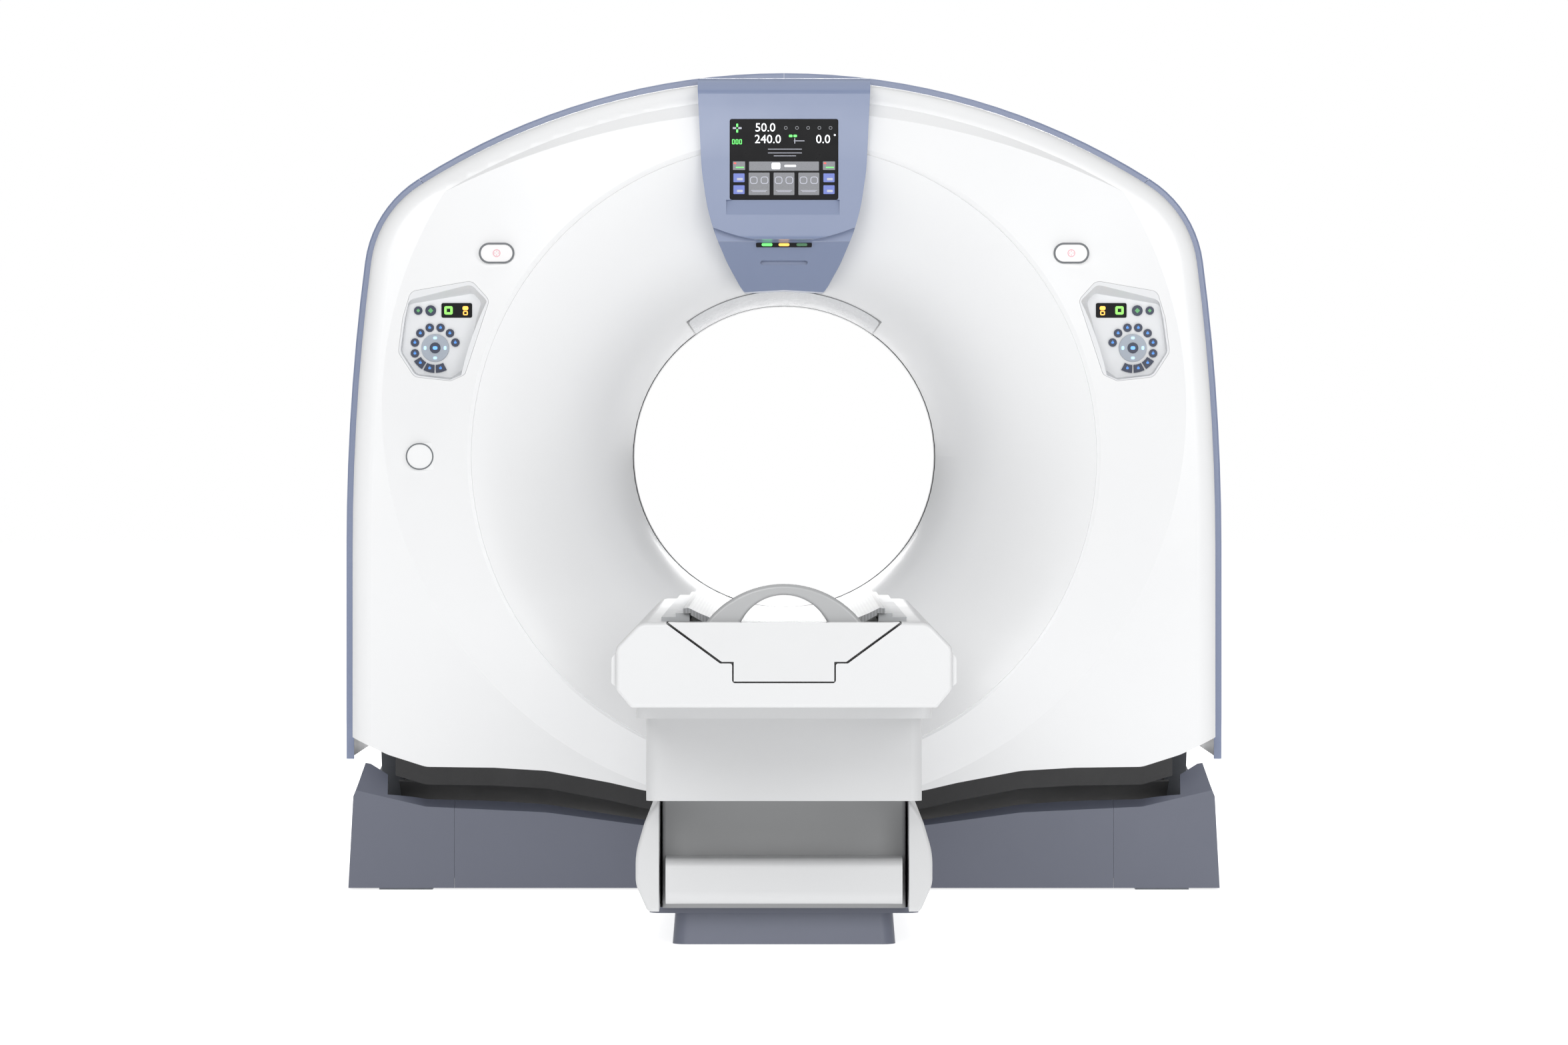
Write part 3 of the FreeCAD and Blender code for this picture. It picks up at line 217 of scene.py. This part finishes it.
# every finish of the machine, by name
finish = {
    "coverWhite": moulded("coverWhite", (0.79, 0.795, 0.80), (0.755, 0.76, 0.77), 0.36, coat=0.2),
    "tableWhite": moulded("tableWhite", (0.60, 0.605, 0.61), (0.565, 0.57, 0.58), 0.4, coat=0.15),
    "panelGrey": moulded("panelGrey", (0.37, 0.375, 0.38), (0.33, 0.335, 0.34), 0.5),
    "rimBlue": moulded("rimBlue", (0.215, 0.255, 0.385), (0.19, 0.23, 0.35), 0.36, coat=0.25),
    "consoleBlue": moulded("consoleBlue", (0.20, 0.245, 0.375), (0.175, 0.215, 0.335), 0.34, coat=0.3),
    "baseBlue": moulded("baseBlue", (0.115, 0.125, 0.165), (0.10, 0.11, 0.145), 0.42, coat=0.1),
    # black rubber of the bumper, belt, brush block and drive wheel; the same black is painted shade on the
    # belly pan and in the gap round the end cap
    "rubberAndShadeBlack": moulded("rubberAndShadeBlack", (0.012, 0.012, 0.013), (0.02, 0.02, 0.021), 0.6, 2.0, 0.3),
    "railGrey": moulded("railGrey", (0.36, 0.37, 0.38), (0.31, 0.32, 0.33), 0.4),
    "trayWhite": moulded("trayWhite", (0.72, 0.73, 0.745), (0.68, 0.69, 0.705), 0.42),
    "discGrey": moulded("discGrey", (0.34, 0.38, 0.44), (0.30, 0.34, 0.40), 0.4),
    "keyBlue": moulded("keyBlue", (0.008, 0.018, 0.055), (0.006, 0.012, 0.04), 0.35),
    "borderGrey": moulded("borderGrey", (0.13, 0.14, 0.15), (0.10, 0.11, 0.12), 0.45),
    "boxPaint": metal("boxPaint", (0.62, 0.63, 0.65), (0.5, 0.51, 0.53), 0.42, (1, 1, 1), 0.1),
    "framePaint": metal("framePaint", (0.16, 0.17, 0.19), (0.11, 0.12, 0.13), 0.45, (1, 1, 1), 0.2),
    "tubePaint": metal("tubePaint", (0.08, 0.13, 0.25), (0.06, 0.09, 0.18), 0.4, (1, 1, 1), 0.3),
    "steelBright": metal("steelBright", (0.58, 0.59, 0.61), (0.42, 0.43, 0.45), 0.28),
    "castAlloy": metal("castAlloy", (0.60, 0.61, 0.63), (0.46, 0.47, 0.49), 0.4, (1, 1, 1)),
    "copperTrack": metal("copperTrack", (0.72, 0.42, 0.24), (0.5, 0.27, 0.15), 0.3, (1, 12, 1)),
}
print("finishes made")


def carbonBoard():
    # woven carbon under clear lacquer, as two crossing sets of fine bands
    material, tree, shader = newMaterial("carbonBoard", 0.3, coat=0.5)
    place = addNode(tree, "ShaderNodeTexCoord")
    bands = []
    for direction in ("X", "Y"):
        wave = addNode(tree, "ShaderNodeTexWave", wave_type="BANDS", bands_direction=direction)
        wave.inputs["Scale"].default_value = 55.0
        tree.links.new(place.outputs["Object"], wave.inputs["Vector"])
        bands.append(wave.outputs["Fac"])
    weave = mathNode(tree, "MULTIPLY", bands[0], bands[1])
    drift = remap(tree, noiseAt(tree, 4.0), 0.0, 1.0)
    dark = mixColor(tree, drift, (0.135, 0.14, 0.145, 1), (0.17, 0.175, 0.18, 1))
    tree.links.new(mixColor(tree, weave, dark, (0.27, 0.275, 0.285, 1)), shader.inputs["Base Color"])
    tree.links.new(remap(tree, weave, 0.28, 0.42, 0.0, 1.0), shader.inputs["Roughness"])
    return material


filmEdge = {"endSharpness": 14.0, "sideSharpness": 30.0, "lineFrom": 0.78, "lineTo": 0.9}


def clearFilm(axisHeight, nearY, farY, halfTurn):
    # smoked strip with a thin grey line round its edge
    material, tree, shader = newMaterial("clearFilm", 0.25)
    place = addNode(tree, "ShaderNodeTexCoord")
    split = addNode(tree, "ShaderNodeSeparateXYZ")
    tree.links.new(place.outputs["Object"], split.inputs["Vector"])
    along = mathNode(tree, "DIVIDE", mathNode(tree, "SUBTRACT", split.outputs["Y"], (nearY + farY) / 2),
                     (farY - nearY) / 2)
    above = mathNode(tree, "SUBTRACT", split.outputs["Z"], axisHeight)
    across = mathNode(tree, "DIVIDE", mathNode(tree, "ARCTAN2", split.outputs["X"], above), halfTurn)
    ends = mathNode(tree, "POWER", mathNode(tree, "ABSOLUTE", along), filmEdge["endSharpness"])
    sides = mathNode(tree, "POWER", mathNode(tree, "ABSOLUTE", across), filmEdge["sideSharpness"])
    edge = mathNode(tree, "POWER", mathNode(tree, "ADD", ends, sides), 0.5)
    rim = remap(tree, edge, 0.0, 1.0, filmEdge["lineFrom"], filmEdge["lineTo"])
    drift = remap(tree, noiseAt(tree, 12.0), 0.0, 1.0)
    base = mixColor(tree, drift, (0.66, 0.67, 0.685, 1), (0.60, 0.61, 0.625, 1))
    tree.links.new(mixColor(tree, rim, base, (0.16, 0.165, 0.17, 1)), shader.inputs["Base Color"])
    tree.links.new(remap(tree, noiseAt(tree, 30.0), 0.2, 0.32), shader.inputs["Roughness"])
    return material


def twoTone(name, lowColor, highColor, height, band, roughness):
    # one moulding that changes finish above a given height
    material = moulded(name, lowColor, lowColor, roughness, coat=0.2)
    tree = material.node_tree
    shader = tree.nodes["Principled BSDF"]
    skin = shader.inputs["Base Color"].links[0].from_socket
    place = addNode(tree, "ShaderNodeTexCoord")
    split = addNode(tree, "ShaderNodeSeparateXYZ")
    tree.links.new(place.outputs["Object"], split.inputs["Vector"])
    upper = remap(tree, split.outputs["Z"], 0.0, 1.0, height, height + band)
    tint = mixColor(tree, remap(tree, noiseAt(tree, 3.0), 0.0, 1.0), (*highColor, 1),
                    (*[c * 0.95 for c in highColor], 1))
    tree.links.new(mixColor(tree, upper, skin, tint), shader.inputs["Base Color"])
    return material


def blackGlass():
    material, tree, shader = newMaterial("blackGlass", 0.3, specular=0.12)
    shader.inputs["Base Color"].default_value = (0.003, 0.003, 0.004, 1)
    tree.links.new(remap(tree, noiseAt(tree, 40.0), 0.26, 0.36), shader.inputs["Roughness"])
    return material


finish["carbonBoard"] = carbonBoard()
joints = {joint["name"]: joint for joint in frame["record"]["behaviour"]["joints"]}
axisHeight = joints["gantry_tilt"]["pos_m"][2]  # the bore's axis and the tilt axis cross
filmLow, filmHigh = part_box("alignment_window")
finish["clearFilm"] = clearFilm(axisHeight, filmLow.y, filmHigh.y, halfTurn=math.radians(36))
finish["capWhite"] = twoTone("capWhite", (0.58, 0.585, 0.59), (0.34, 0.345, 0.35), height=0.6645,
                             band=0.0008, roughness=0.34)
finish["boreGrey"] = moulded("boreGrey", (0.62, 0.625, 0.635), (0.58, 0.585, 0.595), 0.3, coat=0.2)
finish["blackGlass"] = blackGlass()
finish["lensWhite"] = moulded("lensWhite", (0.80, 0.79, 0.79), (0.76, 0.74, 0.75), 0.2, 0.3, coat=0.6)
for glowName, glowColor, glowStrength in (
        ("glowWhite", (0.9, 0.92, 0.95), 0.9), ("glowGreen", (0.10, 0.75, 0.12), 0.9),
        ("glowAmber", (0.95, 0.45, 0.06), 0.9), ("glowBlue", (0.12, 0.35, 0.95), 0.8),
        ("glowPale", (0.42, 0.66, 0.95), 0.55), ("glowRed", (0.75, 0.06, 0.05), 0.6),
        ("glowDim", (0.02, 0.12, 0.04), 0.3), ("fieldGrey", (0.16, 0.165, 0.18), 0.25),
        ("lampPink", (0.70, 0.30, 0.36), 0.05), ("iconBlue", (0.10, 0.14, 0.42), 0.35),
        ("linePale", (0.35, 0.36, 0.42), 0.4), ("markBlue", (0.05, 0.22, 0.62), 0.45),
        ("markGreen", (0.07, 0.30, 0.10), 0.35), ("glowLime", (0.22, 0.62, 0.10), 0.7)):
    finish[glowName] = glowing(glowName, glowColor, glowStrength)

nodeFinish = {
    "coverWhite": ["front_cover", "rear_cover", "port_cover"],
    "tableWhite": ["table_body_cover", "table_skirt", "lift_cover_upper", "lower_front_cover",
                   "lower_side_covers", "table_side_strips"],
    "capWhite": ["cradle_end_cap"],
    "panelGrey": ["pedestal_panel", "lift_cover_inner"],
    "rimBlue": ["rim_covers"],
    "consoleBlue": ["display_console"],
    "baseBlue": ["base_covers", "table_plinth", "cable_duct"],
    # the belly pan is black as painted shade: a dark backing for the shaded gap under the gantry
    "rubberAndShadeBlack": ["front_bumper", "belly_pan", "drive_belt", "brush_block", "cradle_drive_wheel"],
    "railGrey": ["cradle_rails"],
    "trayWhite": ["control_panels"],
    "discGrey": ["direction_button_left", "direction_button_right"],
    "keyBlue": ["keypad_keys", "select_button_left", "select_button_right"],
    "blackGlass": ["display_screens", "status_light_bar"],
    "lensWhite": ["gantry_lamps"],
    "clearFilm": ["alignment_window"],
    "boreGrey": ["bore_window"],
    "carbonBoard": ["cradle_board"],
    "framePaint": ["gantry_base_frame", "tilt_frame", "table_frame", "tilt_gearmotor", "rotor_motor"],
    "steelBright": ["tilt_bearings", "tilt_sector", "tilt_pinion", "bearing_outer_race", "bearing_inner_race",
                    "bearing_cage", "motor_pulley", "lift_column_outer", "lift_column_middle",
                    "lift_column_inner", "cradle_drive_mount"],
    "castAlloy": ["rotor_drum"],
    "boxPaint": ["collimator", "detector_arc", "hv_generator", "heat_exchanger", "drum_electronics",
                 "balance_weight"],
    "tubePaint": ["xray_tube"],
    "copperTrack": ["slip_ring"],
}


def setFinish(node, name):
    mesh = nodes[node].data
    mesh.materials.clear()
    mesh.materials.append(finish[name])


for finishName, members in nodeFinish.items():
    for member in members:
        setFinish(member, finishName)
print("frame dressed", len(nodes))


# camera straight in front, a little below the axis of the bore
view = {"place": (0, -13.0, 0.941), "lens": 128.43, "shift": -0.0327381, "reach": 200}
camera = bpy.data.cameras.new("mainCamera")
camera.lens, camera.shift_y = view["lens"], view["shift"]
camera.clip_end = view["reach"]
cameraObject = bpy.data.objects.new("mainCamera", camera)
cameraObject.location, cameraObject.rotation_euler = view["place"], (pi / 2, 0, 0)
bpy.context.scene.collection.objects.link(cameraObject)
bpy.context.scene.camera = cameraObject
bpy.context.scene.view_settings.view_transform = "Standard"

world = bpy.data.worlds.new("studioRoom")
world.use_nodes = True
room = world.node_tree.nodes["Background"]
room.inputs["Color"].default_value = (1.0, 1.0, 1.0, 1)
sight = addNode(world.node_tree, "ShaderNodeLightPath")
world.node_tree.links.new(remap(world.node_tree, sight.outputs["Is Camera Ray"], 0.36, 1.0, 0.0, 1.0),
                          room.inputs["Strength"])  # white to look at, softer as a light
bpy.context.scene.world = world

softboxes = {
    "keyLight": {"place": (-1.6, -9.5, 3.6), "aim": (0, -0.6, 0.9), "size": (4.0, 3.0), "power": 235},
    "fillLight": {"place": (2.6, -9.0, 2.6), "aim": (0, -0.8, 0.8), "size": (3.5, 3.0), "power": 150},
    "topLight": {"place": (0, -0.8, 5.5), "aim": (0, -0.8, 0), "size": (4.0, 5.0), "power": 70},
    "backLight": {"place": (0, 7.0, 3.5), "aim": (0, 0, 0.9), "size": (4.0, 3.0), "power": 220},
}
for name, box in softboxes.items():
    light = bpy.data.lights.new(name, "AREA")
    light.shape, light.size, light.size_y, light.energy = "RECTANGLE", *box["size"], box["power"]
    lamp = bpy.data.objects.new(name, light)
    lamp.location = box["place"]
    lamp.rotation_euler = (Vector(box["aim"]) - Vector(box["place"])).to_track_quat("-Z", "Y").to_euler()
    bpy.context.scene.collection.objects.link(lamp)

studioFloor = {"halfWidth": 60, "glow": 0.80}
floorMesh = bmesh.new()
bmesh.ops.create_grid(floorMesh, x_segments=1, y_segments=1, size=studioFloor["halfWidth"])
floorData = bpy.data.meshes.new("studioFloor")
floorMesh.to_mesh(floorData)
floorMesh.free()
floor = bpy.data.objects.new("studioFloor", floorData)
bpy.context.scene.collection.objects.link(floor)
floorPale = moulded("floorPale", (0.62, 0.62, 0.625), (0.60, 0.60, 0.605), 0.75, 0.5, 0.02)
floorShader = floorPale.node_tree.nodes["Principled BSDF"]
floorShader.inputs["Emission Color"].default_value = (1, 1, 1, 1)
floorShader.inputs["Emission Strength"].default_value = studioFloor["glow"]
floorData.materials.append(floorPale)
print("studio set up")


def finishPiece(name, work, body, finishName):
    bmesh.ops.recalc_face_normals(work, faces=work.faces)
    data = bpy.data.meshes.new(name)
    work.to_mesh(data)
    work.free()
    piece = bpy.data.objects.new(name, data)
    bpy.context.scene.collection.objects.link(piece)
    data.materials.append(finish[finishName])
    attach(piece, body)
    return piece


def vertsIn(result):
    return [item for item in result["geom"] if isinstance(item, bmesh.types.BMVert)]


def addToWork(work, data):
    work.from_mesh(data)
    bpy.data.meshes.remove(data)


def keepBorder(part, width):
    # cut the middle out of a flat shape
    middle = part.faces[:]
    bmesh.ops.inset_region(part, faces=middle, thickness=width, use_boundary=True, use_even_offset=True)
    bmesh.ops.delete(part, geom=middle, context="FACES_ONLY")


def standOnFront(work, part, x, z, front, depth, turn=0.0):
    # give a flat shape its depth, face it to -Y and add it to the work
    raised = bmesh.ops.extrude_face_region(part, geom=part.faces[:])
    bmesh.ops.translate(part, vec=(0, 0, depth), verts=vertsIn(raised))
    bmesh.ops.recalc_face_normals(part, faces=part.faces)
    place = Matrix.Translation((x, front + depth, z)) @ Matrix.Rotation(pi / 2, 4, "X")
    bmesh.ops.transform(part, matrix=place @ Matrix.Rotation(turn, 4, "Z"), verts=part.verts)
    data = bpy.data.meshes.new("flatShape")
    part.to_mesh(data)
    part.free()
    addToWork(work, data)


def addPlate(work, x, z, w, h, r, front, depth=0.0008, border=0.0, turn=0.0, corner=5):
    # rounded plate that faces -Y, or only its border
    part = bmesh.new()
    bmesh.ops.create_grid(part, x_segments=1, y_segments=1, size=0.5)
    bmesh.ops.scale(part, vec=(w, h, 1), verts=part.verts)
    bmesh.ops.bevel(part, geom=part.verts[:], affect="VERTICES", offset=min(r, 0.4999 * min(w, h)),
                    segments=corner, profile=0.5, material=-1)
    if border > 0:
        keepBorder(part, border)
    standOnFront(work, part, x, z, front, depth, turn)


def addRound(work, x, z, r, front, depth=0.0008, border=0.0, sides=32):
    part = bmesh.new()
    bmesh.ops.create_circle(part, cap_ends=True, segments=sides, radius=r)
    if border > 0:
        keepBorder(part, border)
    standOnFront(work, part, x, z, front, depth)


lettering = {"sizePerHeight": 1.38, "thickness": 0.0002, "curveSteps": 3}


def addText(work, text, x, z, height, front):
    curve = bpy.data.curves.new("lettering", "FONT")
    curve.body, curve.size = text, height * lettering["sizePerHeight"]
    curve.extrude, curve.resolution_u = lettering["thickness"], lettering["curveSteps"]
    holder = bpy.data.objects.new("lettering", curve)
    bpy.context.scene.collection.objects.link(holder)
    data = bpy.data.meshes.new_from_object(holder)
    bpy.data.objects.remove(holder)
    bpy.data.curves.remove(curve)
    data.transform(Matrix.Translation((x, front, z)) @ Matrix.Rotation(pi / 2, 4, "X"))
    addToWork(work, data)


def middleAndFront(node):
    low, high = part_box(node)
    return (low + high) / 2, low.y


# lamps and port cover on the front face
lampMid, lampFront = middleAndFront("gantry_lamps")
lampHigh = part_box("gantry_lamps")[1]
lampTrim = {"width": 0.081, "height": 0.048, "seam": 0.001, "corner": 0.03, "border": 0.0045,
            "proud": 0.0008}
lampMark = {"radius": 0.0085, "line": 0.0016, "reach": 0.0042, "long": 0.0036, "wide": 0.0012,
            "corner": 0.0004, "thin": 0.0004}
portTrim = {"seam": 0.001, "corner": 0.04, "border": 0.003, "proud": 0.0008}
borders, marks = bmesh.new(), bmesh.new()
for side in (-1, 1):
    lampX = side * (lampHigh.x - lampTrim["width"] / 2)
    addPlate(borders, lampX, lampMid.z, lampTrim["width"] - lampTrim["seam"],
             lampTrim["height"] - lampTrim["seam"], lampTrim["corner"],
             lampFront - lampTrim["proud"], border=lampTrim["border"], corner=12)
    markFront = lampFront - lampMark["thin"]
    addRound(marks, lampX, lampMid.z, lampMark["radius"], markFront, lampMark["thin"],
             border=lampMark["line"])
    for spoke in range(4):
        angle = spoke * pi / 2
        addPlate(marks, lampX + lampMark["reach"] * cos(angle), lampMid.z + lampMark["reach"] * sin(angle),
                 lampMark["long"], lampMark["wide"], lampMark["corner"], markFront, lampMark["thin"],
                 turn=angle, corner=2)
portMid, portFront = middleAndFront("port_cover")
portLow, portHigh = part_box("port_cover")
portSize = portHigh - portLow
addPlate(borders, portMid.x, portMid.z, portSize.x - portTrim["seam"], portSize.z - portTrim["seam"],
         portTrim["corner"], portFront - portTrim["proud"], border=portTrim["border"], corner=12)
finishPiece("faceTrimRings", borders, "gantry", "borderGrey")
finishPiece("lampMarks", marks, "gantry", "lampPink")
print("lamps trimmed")

# thin dark ring where the bell meets the bore tube
boreLine = {"halfWidth": 0.0016, "inside": 0.004, "proud": 0.001, "steps": 128}
tubeLow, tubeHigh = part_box("bore_window")
boreRadius = (tubeHigh.x - tubeLow.x) / 2 - boreLine["inside"]
edgeWork = bmesh.new()
bmesh.ops.create_circle(edgeWork, cap_ends=False, segments=4, radius=boreLine["halfWidth"])
bmesh.ops.rotate(edgeWork, matrix=Matrix.Rotation(pi / 2, 3, "X"), verts=edgeWork.verts)
bmesh.ops.translate(edgeWork, vec=(boreRadius, tubeLow.y - boreLine["proud"], axisHeight),
                    verts=edgeWork.verts)
bmesh.ops.spin(edgeWork, geom=edgeWork.edges[:] + edgeWork.verts[:], cent=(0, 0, axisHeight), axis=(0, 1, 0),
               angle=2 * pi, steps=boreLine["steps"], use_merge=True)
finishPiece("boreEdge", edgeWork, "gantry", "borderGrey")
print("bore edged")

# readouts on the gantry display
screen = {"front": -0.506, "proud": 0.0006, "thin": 0.0004, "over": 0.0003, "icon": 0.0002}
glass = screen["front"] - screen["proud"]
onField, thin = glass - screen["over"], screen["thin"]
numbers = {"height": 0.0195,
           "rows": (("50.0", -0.065, 1.700), ("240.0", -0.066, 1.674), ("0.0", 0.071, 1.674))}
tableField = {"z": 1.6225, "width": 0.156, "height": 0.0205}
tableIcons = ((-0.018, 0.019, 0.0145, 0.003), (0.014, 0.026, 0.004, 0.0015))  # x, width, height, corner
keyFields = {"places": (-0.0555, 0, 0.0555), "z": 1.583, "width": 0.0465, "height": 0.050,
             "rows": ((1.5685, 0.036), (1.5655, 0.030)), "rings": (-0.012, 0.012), "ringZ": 1.591}
textRows = ((1.6605, 0.076), (1.652, 0.076), (1.6455, 0.05))  # z and width
sideFields = {"x": 0.1005, "z": 1.6235, "width": 0.027, "height": 0.019, "keys": (1.5965, 1.570)}
tiltMark = {"x": -0.1045, "z": 1.7075, "reach": 0.0062, "long": 0.0075, "wide": 0.0042, "corner": 0.0012}
digits, fields, greens, blues, reds, lines = (bmesh.new() for _ in range(6))
for text, x, z in numbers["rows"]:
    addText(digits, text, x, z, numbers["height"], glass)
addRound(digits, 0.1135, 1.692, 0.0022, glass, thin, border=0.0008, sides=12)  # degree ring
for x, wide, high, corner in tableIcons:
    addPlate(digits, x, 1.623, wide, high, corner, glass - screen["icon"], thin + screen["icon"])
addPlate(fields, 0, tableField["z"], tableField["width"], tableField["height"], 0.001, glass, thin)
for x in keyFields["places"]:
    addPlate(fields, x, keyFields["z"], keyFields["width"], keyFields["height"], 0.0015, glass, thin)
    for z, wide in keyFields["rows"]:
        addPlate(lines, x, z, wide, 0.0012, 0.0003, onField, thin, corner=1)
    for ring in keyFields["rings"]:
        addPlate(lines, x + ring, keyFields["ringZ"], 0.017, 0.0165, 0.006, onField, thin, border=0.0018)
for z, wide in textRows:
    addPlate(lines, 0.002, z, wide, 0.0013, 0.0004, glass, thin, corner=1)
for side in (-1, 1):
    fieldX = side * sideFields["x"]
    addPlate(fields, fieldX, sideFields["z"], sideFields["width"], sideFields["height"], 0.001, glass, thin)
    addPlate(reds, fieldX - 0.009, 1.629, 0.0055, 0.0035, 0.0006, onField, thin)
    addPlate(greens, fieldX + 0.002, 1.6195, 0.018, 0.0022, 0.0004, onField, thin)
    for z in sideFields["keys"]:
        addPlate(blues, fieldX, z, 0.025, 0.0195, 0.0015, glass, thin)
        addPlate(lines, fieldX + 0.002, z - 0.003, 0.013, 0.0055, 0.001, onField, thin)
for quarter in range(4):
    angle = quarter * pi / 2
    addPlate(greens if quarter % 2 else lines, tiltMark["x"] + tiltMark["reach"] * cos(angle),
             tiltMark["z"] + tiltMark["reach"] * sin(angle), tiltMark["long"], tiltMark["wide"],
             tiltMark["corner"], glass, thin, turn=angle)
for x in (-0.113, -0.105, -0.097):  # green counters
    addPlate(greens, x, 1.677, 0.006, 0.011, 0.0012, glass, thin, border=0.0016)
for x in (0.015, 0.025):  # pair of green dots
    addPlate(greens, x, 1.690, 0.008, 0.0055, 0.002, glass, thin)
addPlate(lines, 0.034, 1.679, 0.024, 0.0016, 0.0004, glass, thin, corner=1)
addPlate(lines, 0.024, 1.679, 0.0016, 0.012, 0.0004, glass, thin, corner=1)
for x in (0.004, 0.029, 0.054, 0.079, 0.104):  # row of small rings
    addRound(fields, x, 1.708, 0.004, glass, thin, border=0.0012, sides=12)
for name, work, look in (("displayDigits", digits, "glowWhite"), ("displayFields", fields, "fieldGrey"),
                         ("displayGreens", greens, "glowGreen"), ("displayBlues", blues, "iconBlue"),
                         ("displayReds", reds, "glowRed"), ("displayLines", lines, "linePale")):
    finishPiece(name, work, "gantry", look)
print("display lit")

# status lamps in the bar under the display
statusLamp = {"lift": 0.001, "width": 0.024, "height": 0.0065, "corner": 0.003, "proud": 0.0006}
barMid, barFront = middleAndFront("status_light_bar")
for name, x, look in (("statusLampGreen", -0.038, "glowGreen"), ("statusLampAmber", 0.0, "glowAmber"),
                      ("statusLampDim", 0.040, "glowDim")):
    work = bmesh.new()
    addPlate(work, x, barMid.z + statusLamp["lift"], statusLamp["width"], statusLamp["height"],
             statusLamp["corner"], barFront - statusLamp["proud"], statusLamp["proud"])
    finishPiece(name, work, "gantry", look)

# marks on the keys of both pads
pad = {"x": 0.784, "z": 1.218, "ring": 0.047, "keyFront": -0.430, "displayFront": -0.428,
       "buttonFront": -0.431, "mark": 0.0003, "icon": 0.0004,
       "keyAngles": (15, 45, 75, 105, -15, -45, -75, 135, 165, 195),
       "greenKeys": ((0.038, 0.0062), (0.010, 0.0085)), "greenKeyRise": 0.084, "arrowRing": 0.0225}
padMarkFront = pad["keyFront"] - pad["mark"]
padIconFront = pad["displayFront"] - pad["icon"]
keyMarks, keyGreens, iconGreens, iconAmbers = (bmesh.new() for _ in range(4))
for side, word in ((-1, "left"), (1, "right")):
    for angle in pad["keyAngles"]:
        a = pi / 2 - math.radians(angle)
        x, z = side * (pad["x"] + pad["ring"] * cos(a)), pad["z"] + pad["ring"] * sin(a)
        addPlate(keyMarks, x, z, 0.0062, 0.0048, 0.0016, padMarkFront, pad["mark"], corner=2)
        addPlate(keyMarks, x, z + 0.0036, 0.003, 0.0012, 0.0004, padMarkFront, pad["mark"], corner=1)
    for offset, size in pad["greenKeys"]:
        addPlate(keyGreens, side * (pad["x"] + offset), pad["z"] + pad["greenKeyRise"], size, size, 0.001,
                 padMarkFront, pad["mark"], turn=pi / 4)
    addPlate(iconGreens, side * (pad["x"] - 0.030), pad["z"] + 0.0845, 0.019, 0.019, 0.004, padIconFront,
             pad["icon"], border=0.0055)
    amberX = side * (pad["x"] - 0.068)
    addPlate(iconAmbers, amberX, pad["z"] + 0.0895, 0.013, 0.009, 0.0035, padIconFront, pad["icon"])
    addPlate(iconAmbers, amberX, pad["z"] + 0.0785, 0.011, 0.010, 0.003, padIconFront, pad["icon"],
             border=0.0025)
    arrows, centre = bmesh.new(), bmesh.new()
    for quarter in range(4):
        a = quarter * pi / 2
        addPlate(arrows, side * pad["x"] + pad["arrowRing"] * cos(a), pad["z"] + pad["arrowRing"] * sin(a),
                 0.0062, 0.0085, 0.0022, padMarkFront, pad["mark"], turn=a, corner=3)
    finishPiece("discArrows" + word.title(), arrows, "direction_" + word, "glowPale")
    addPlate(centre, side * pad["x"], pad["z"], 0.0105, 0.0075, 0.003, pad["buttonFront"] - pad["mark"],
             pad["mark"], corner=3)
    finishPiece("selectGlow" + word.title(), centre, "select_" + word, "glowBlue")
finishPiece("keyMarks", keyMarks, "gantry", "markBlue")
finishPiece("keyMarksGreen", keyGreens, "gantry", "markGreen")
finishPiece("padIconsGreen", iconGreens, "gantry", "glowLime")
finishPiece("padIconsAmber", iconAmbers, "gantry", "glowAmber")
print("pads marked")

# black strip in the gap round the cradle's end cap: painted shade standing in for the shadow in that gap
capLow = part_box("cradle_end_cap")[0]
gapShade = {"near": 0.0006, "far": 0.0026, "front": 0.004, "depth": 0.02, "top": (0.212, 0.6638),
          "shoulderX": 0.114, "shoulderZ": 0.592, "neckX": 0.092, "footZ": 0.556,
          "topGrowth": 0.8, "shoulderGrowth": 0.55}
gapShadeWork = bmesh.new()
rows = []
for grow in (gapShade["near"], gapShade["far"]):
    topX, topZ = gapShade["top"]
    neckX, shoulderZ = gapShade["neckX"] + grow, gapShade["shoulderZ"] - grow
    half = [(topX + gapShade["topGrowth"] * grow, topZ),
            (gapShade["shoulderX"] + gapShade["shoulderGrowth"] * grow, shoulderZ),
            (neckX, shoulderZ), (neckX, gapShade["footZ"] - grow)]
    line = half + [(-x, z) for x, z in reversed(half)]
    rows.append([gapShadeWork.verts.new((x, capLow.y + gapShade["front"], z)) for x, z in line])
for row in rows:
    for first, second in zip(row, row[1:]):
        gapShadeWork.edges.new((first, second))
bmesh.ops.bridge_loops(gapShadeWork, edges=gapShadeWork.edges[:])
strip = bmesh.ops.extrude_face_region(gapShadeWork, geom=gapShadeWork.faces[:])
bmesh.ops.translate(gapShadeWork, vec=(0, gapShade["depth"], 0), verts=vertsIn(strip))
finishPiece("capGapShade", gapShadeWork, "table_top", "rubberAndShadeBlack")
print("end cap gap shaded")
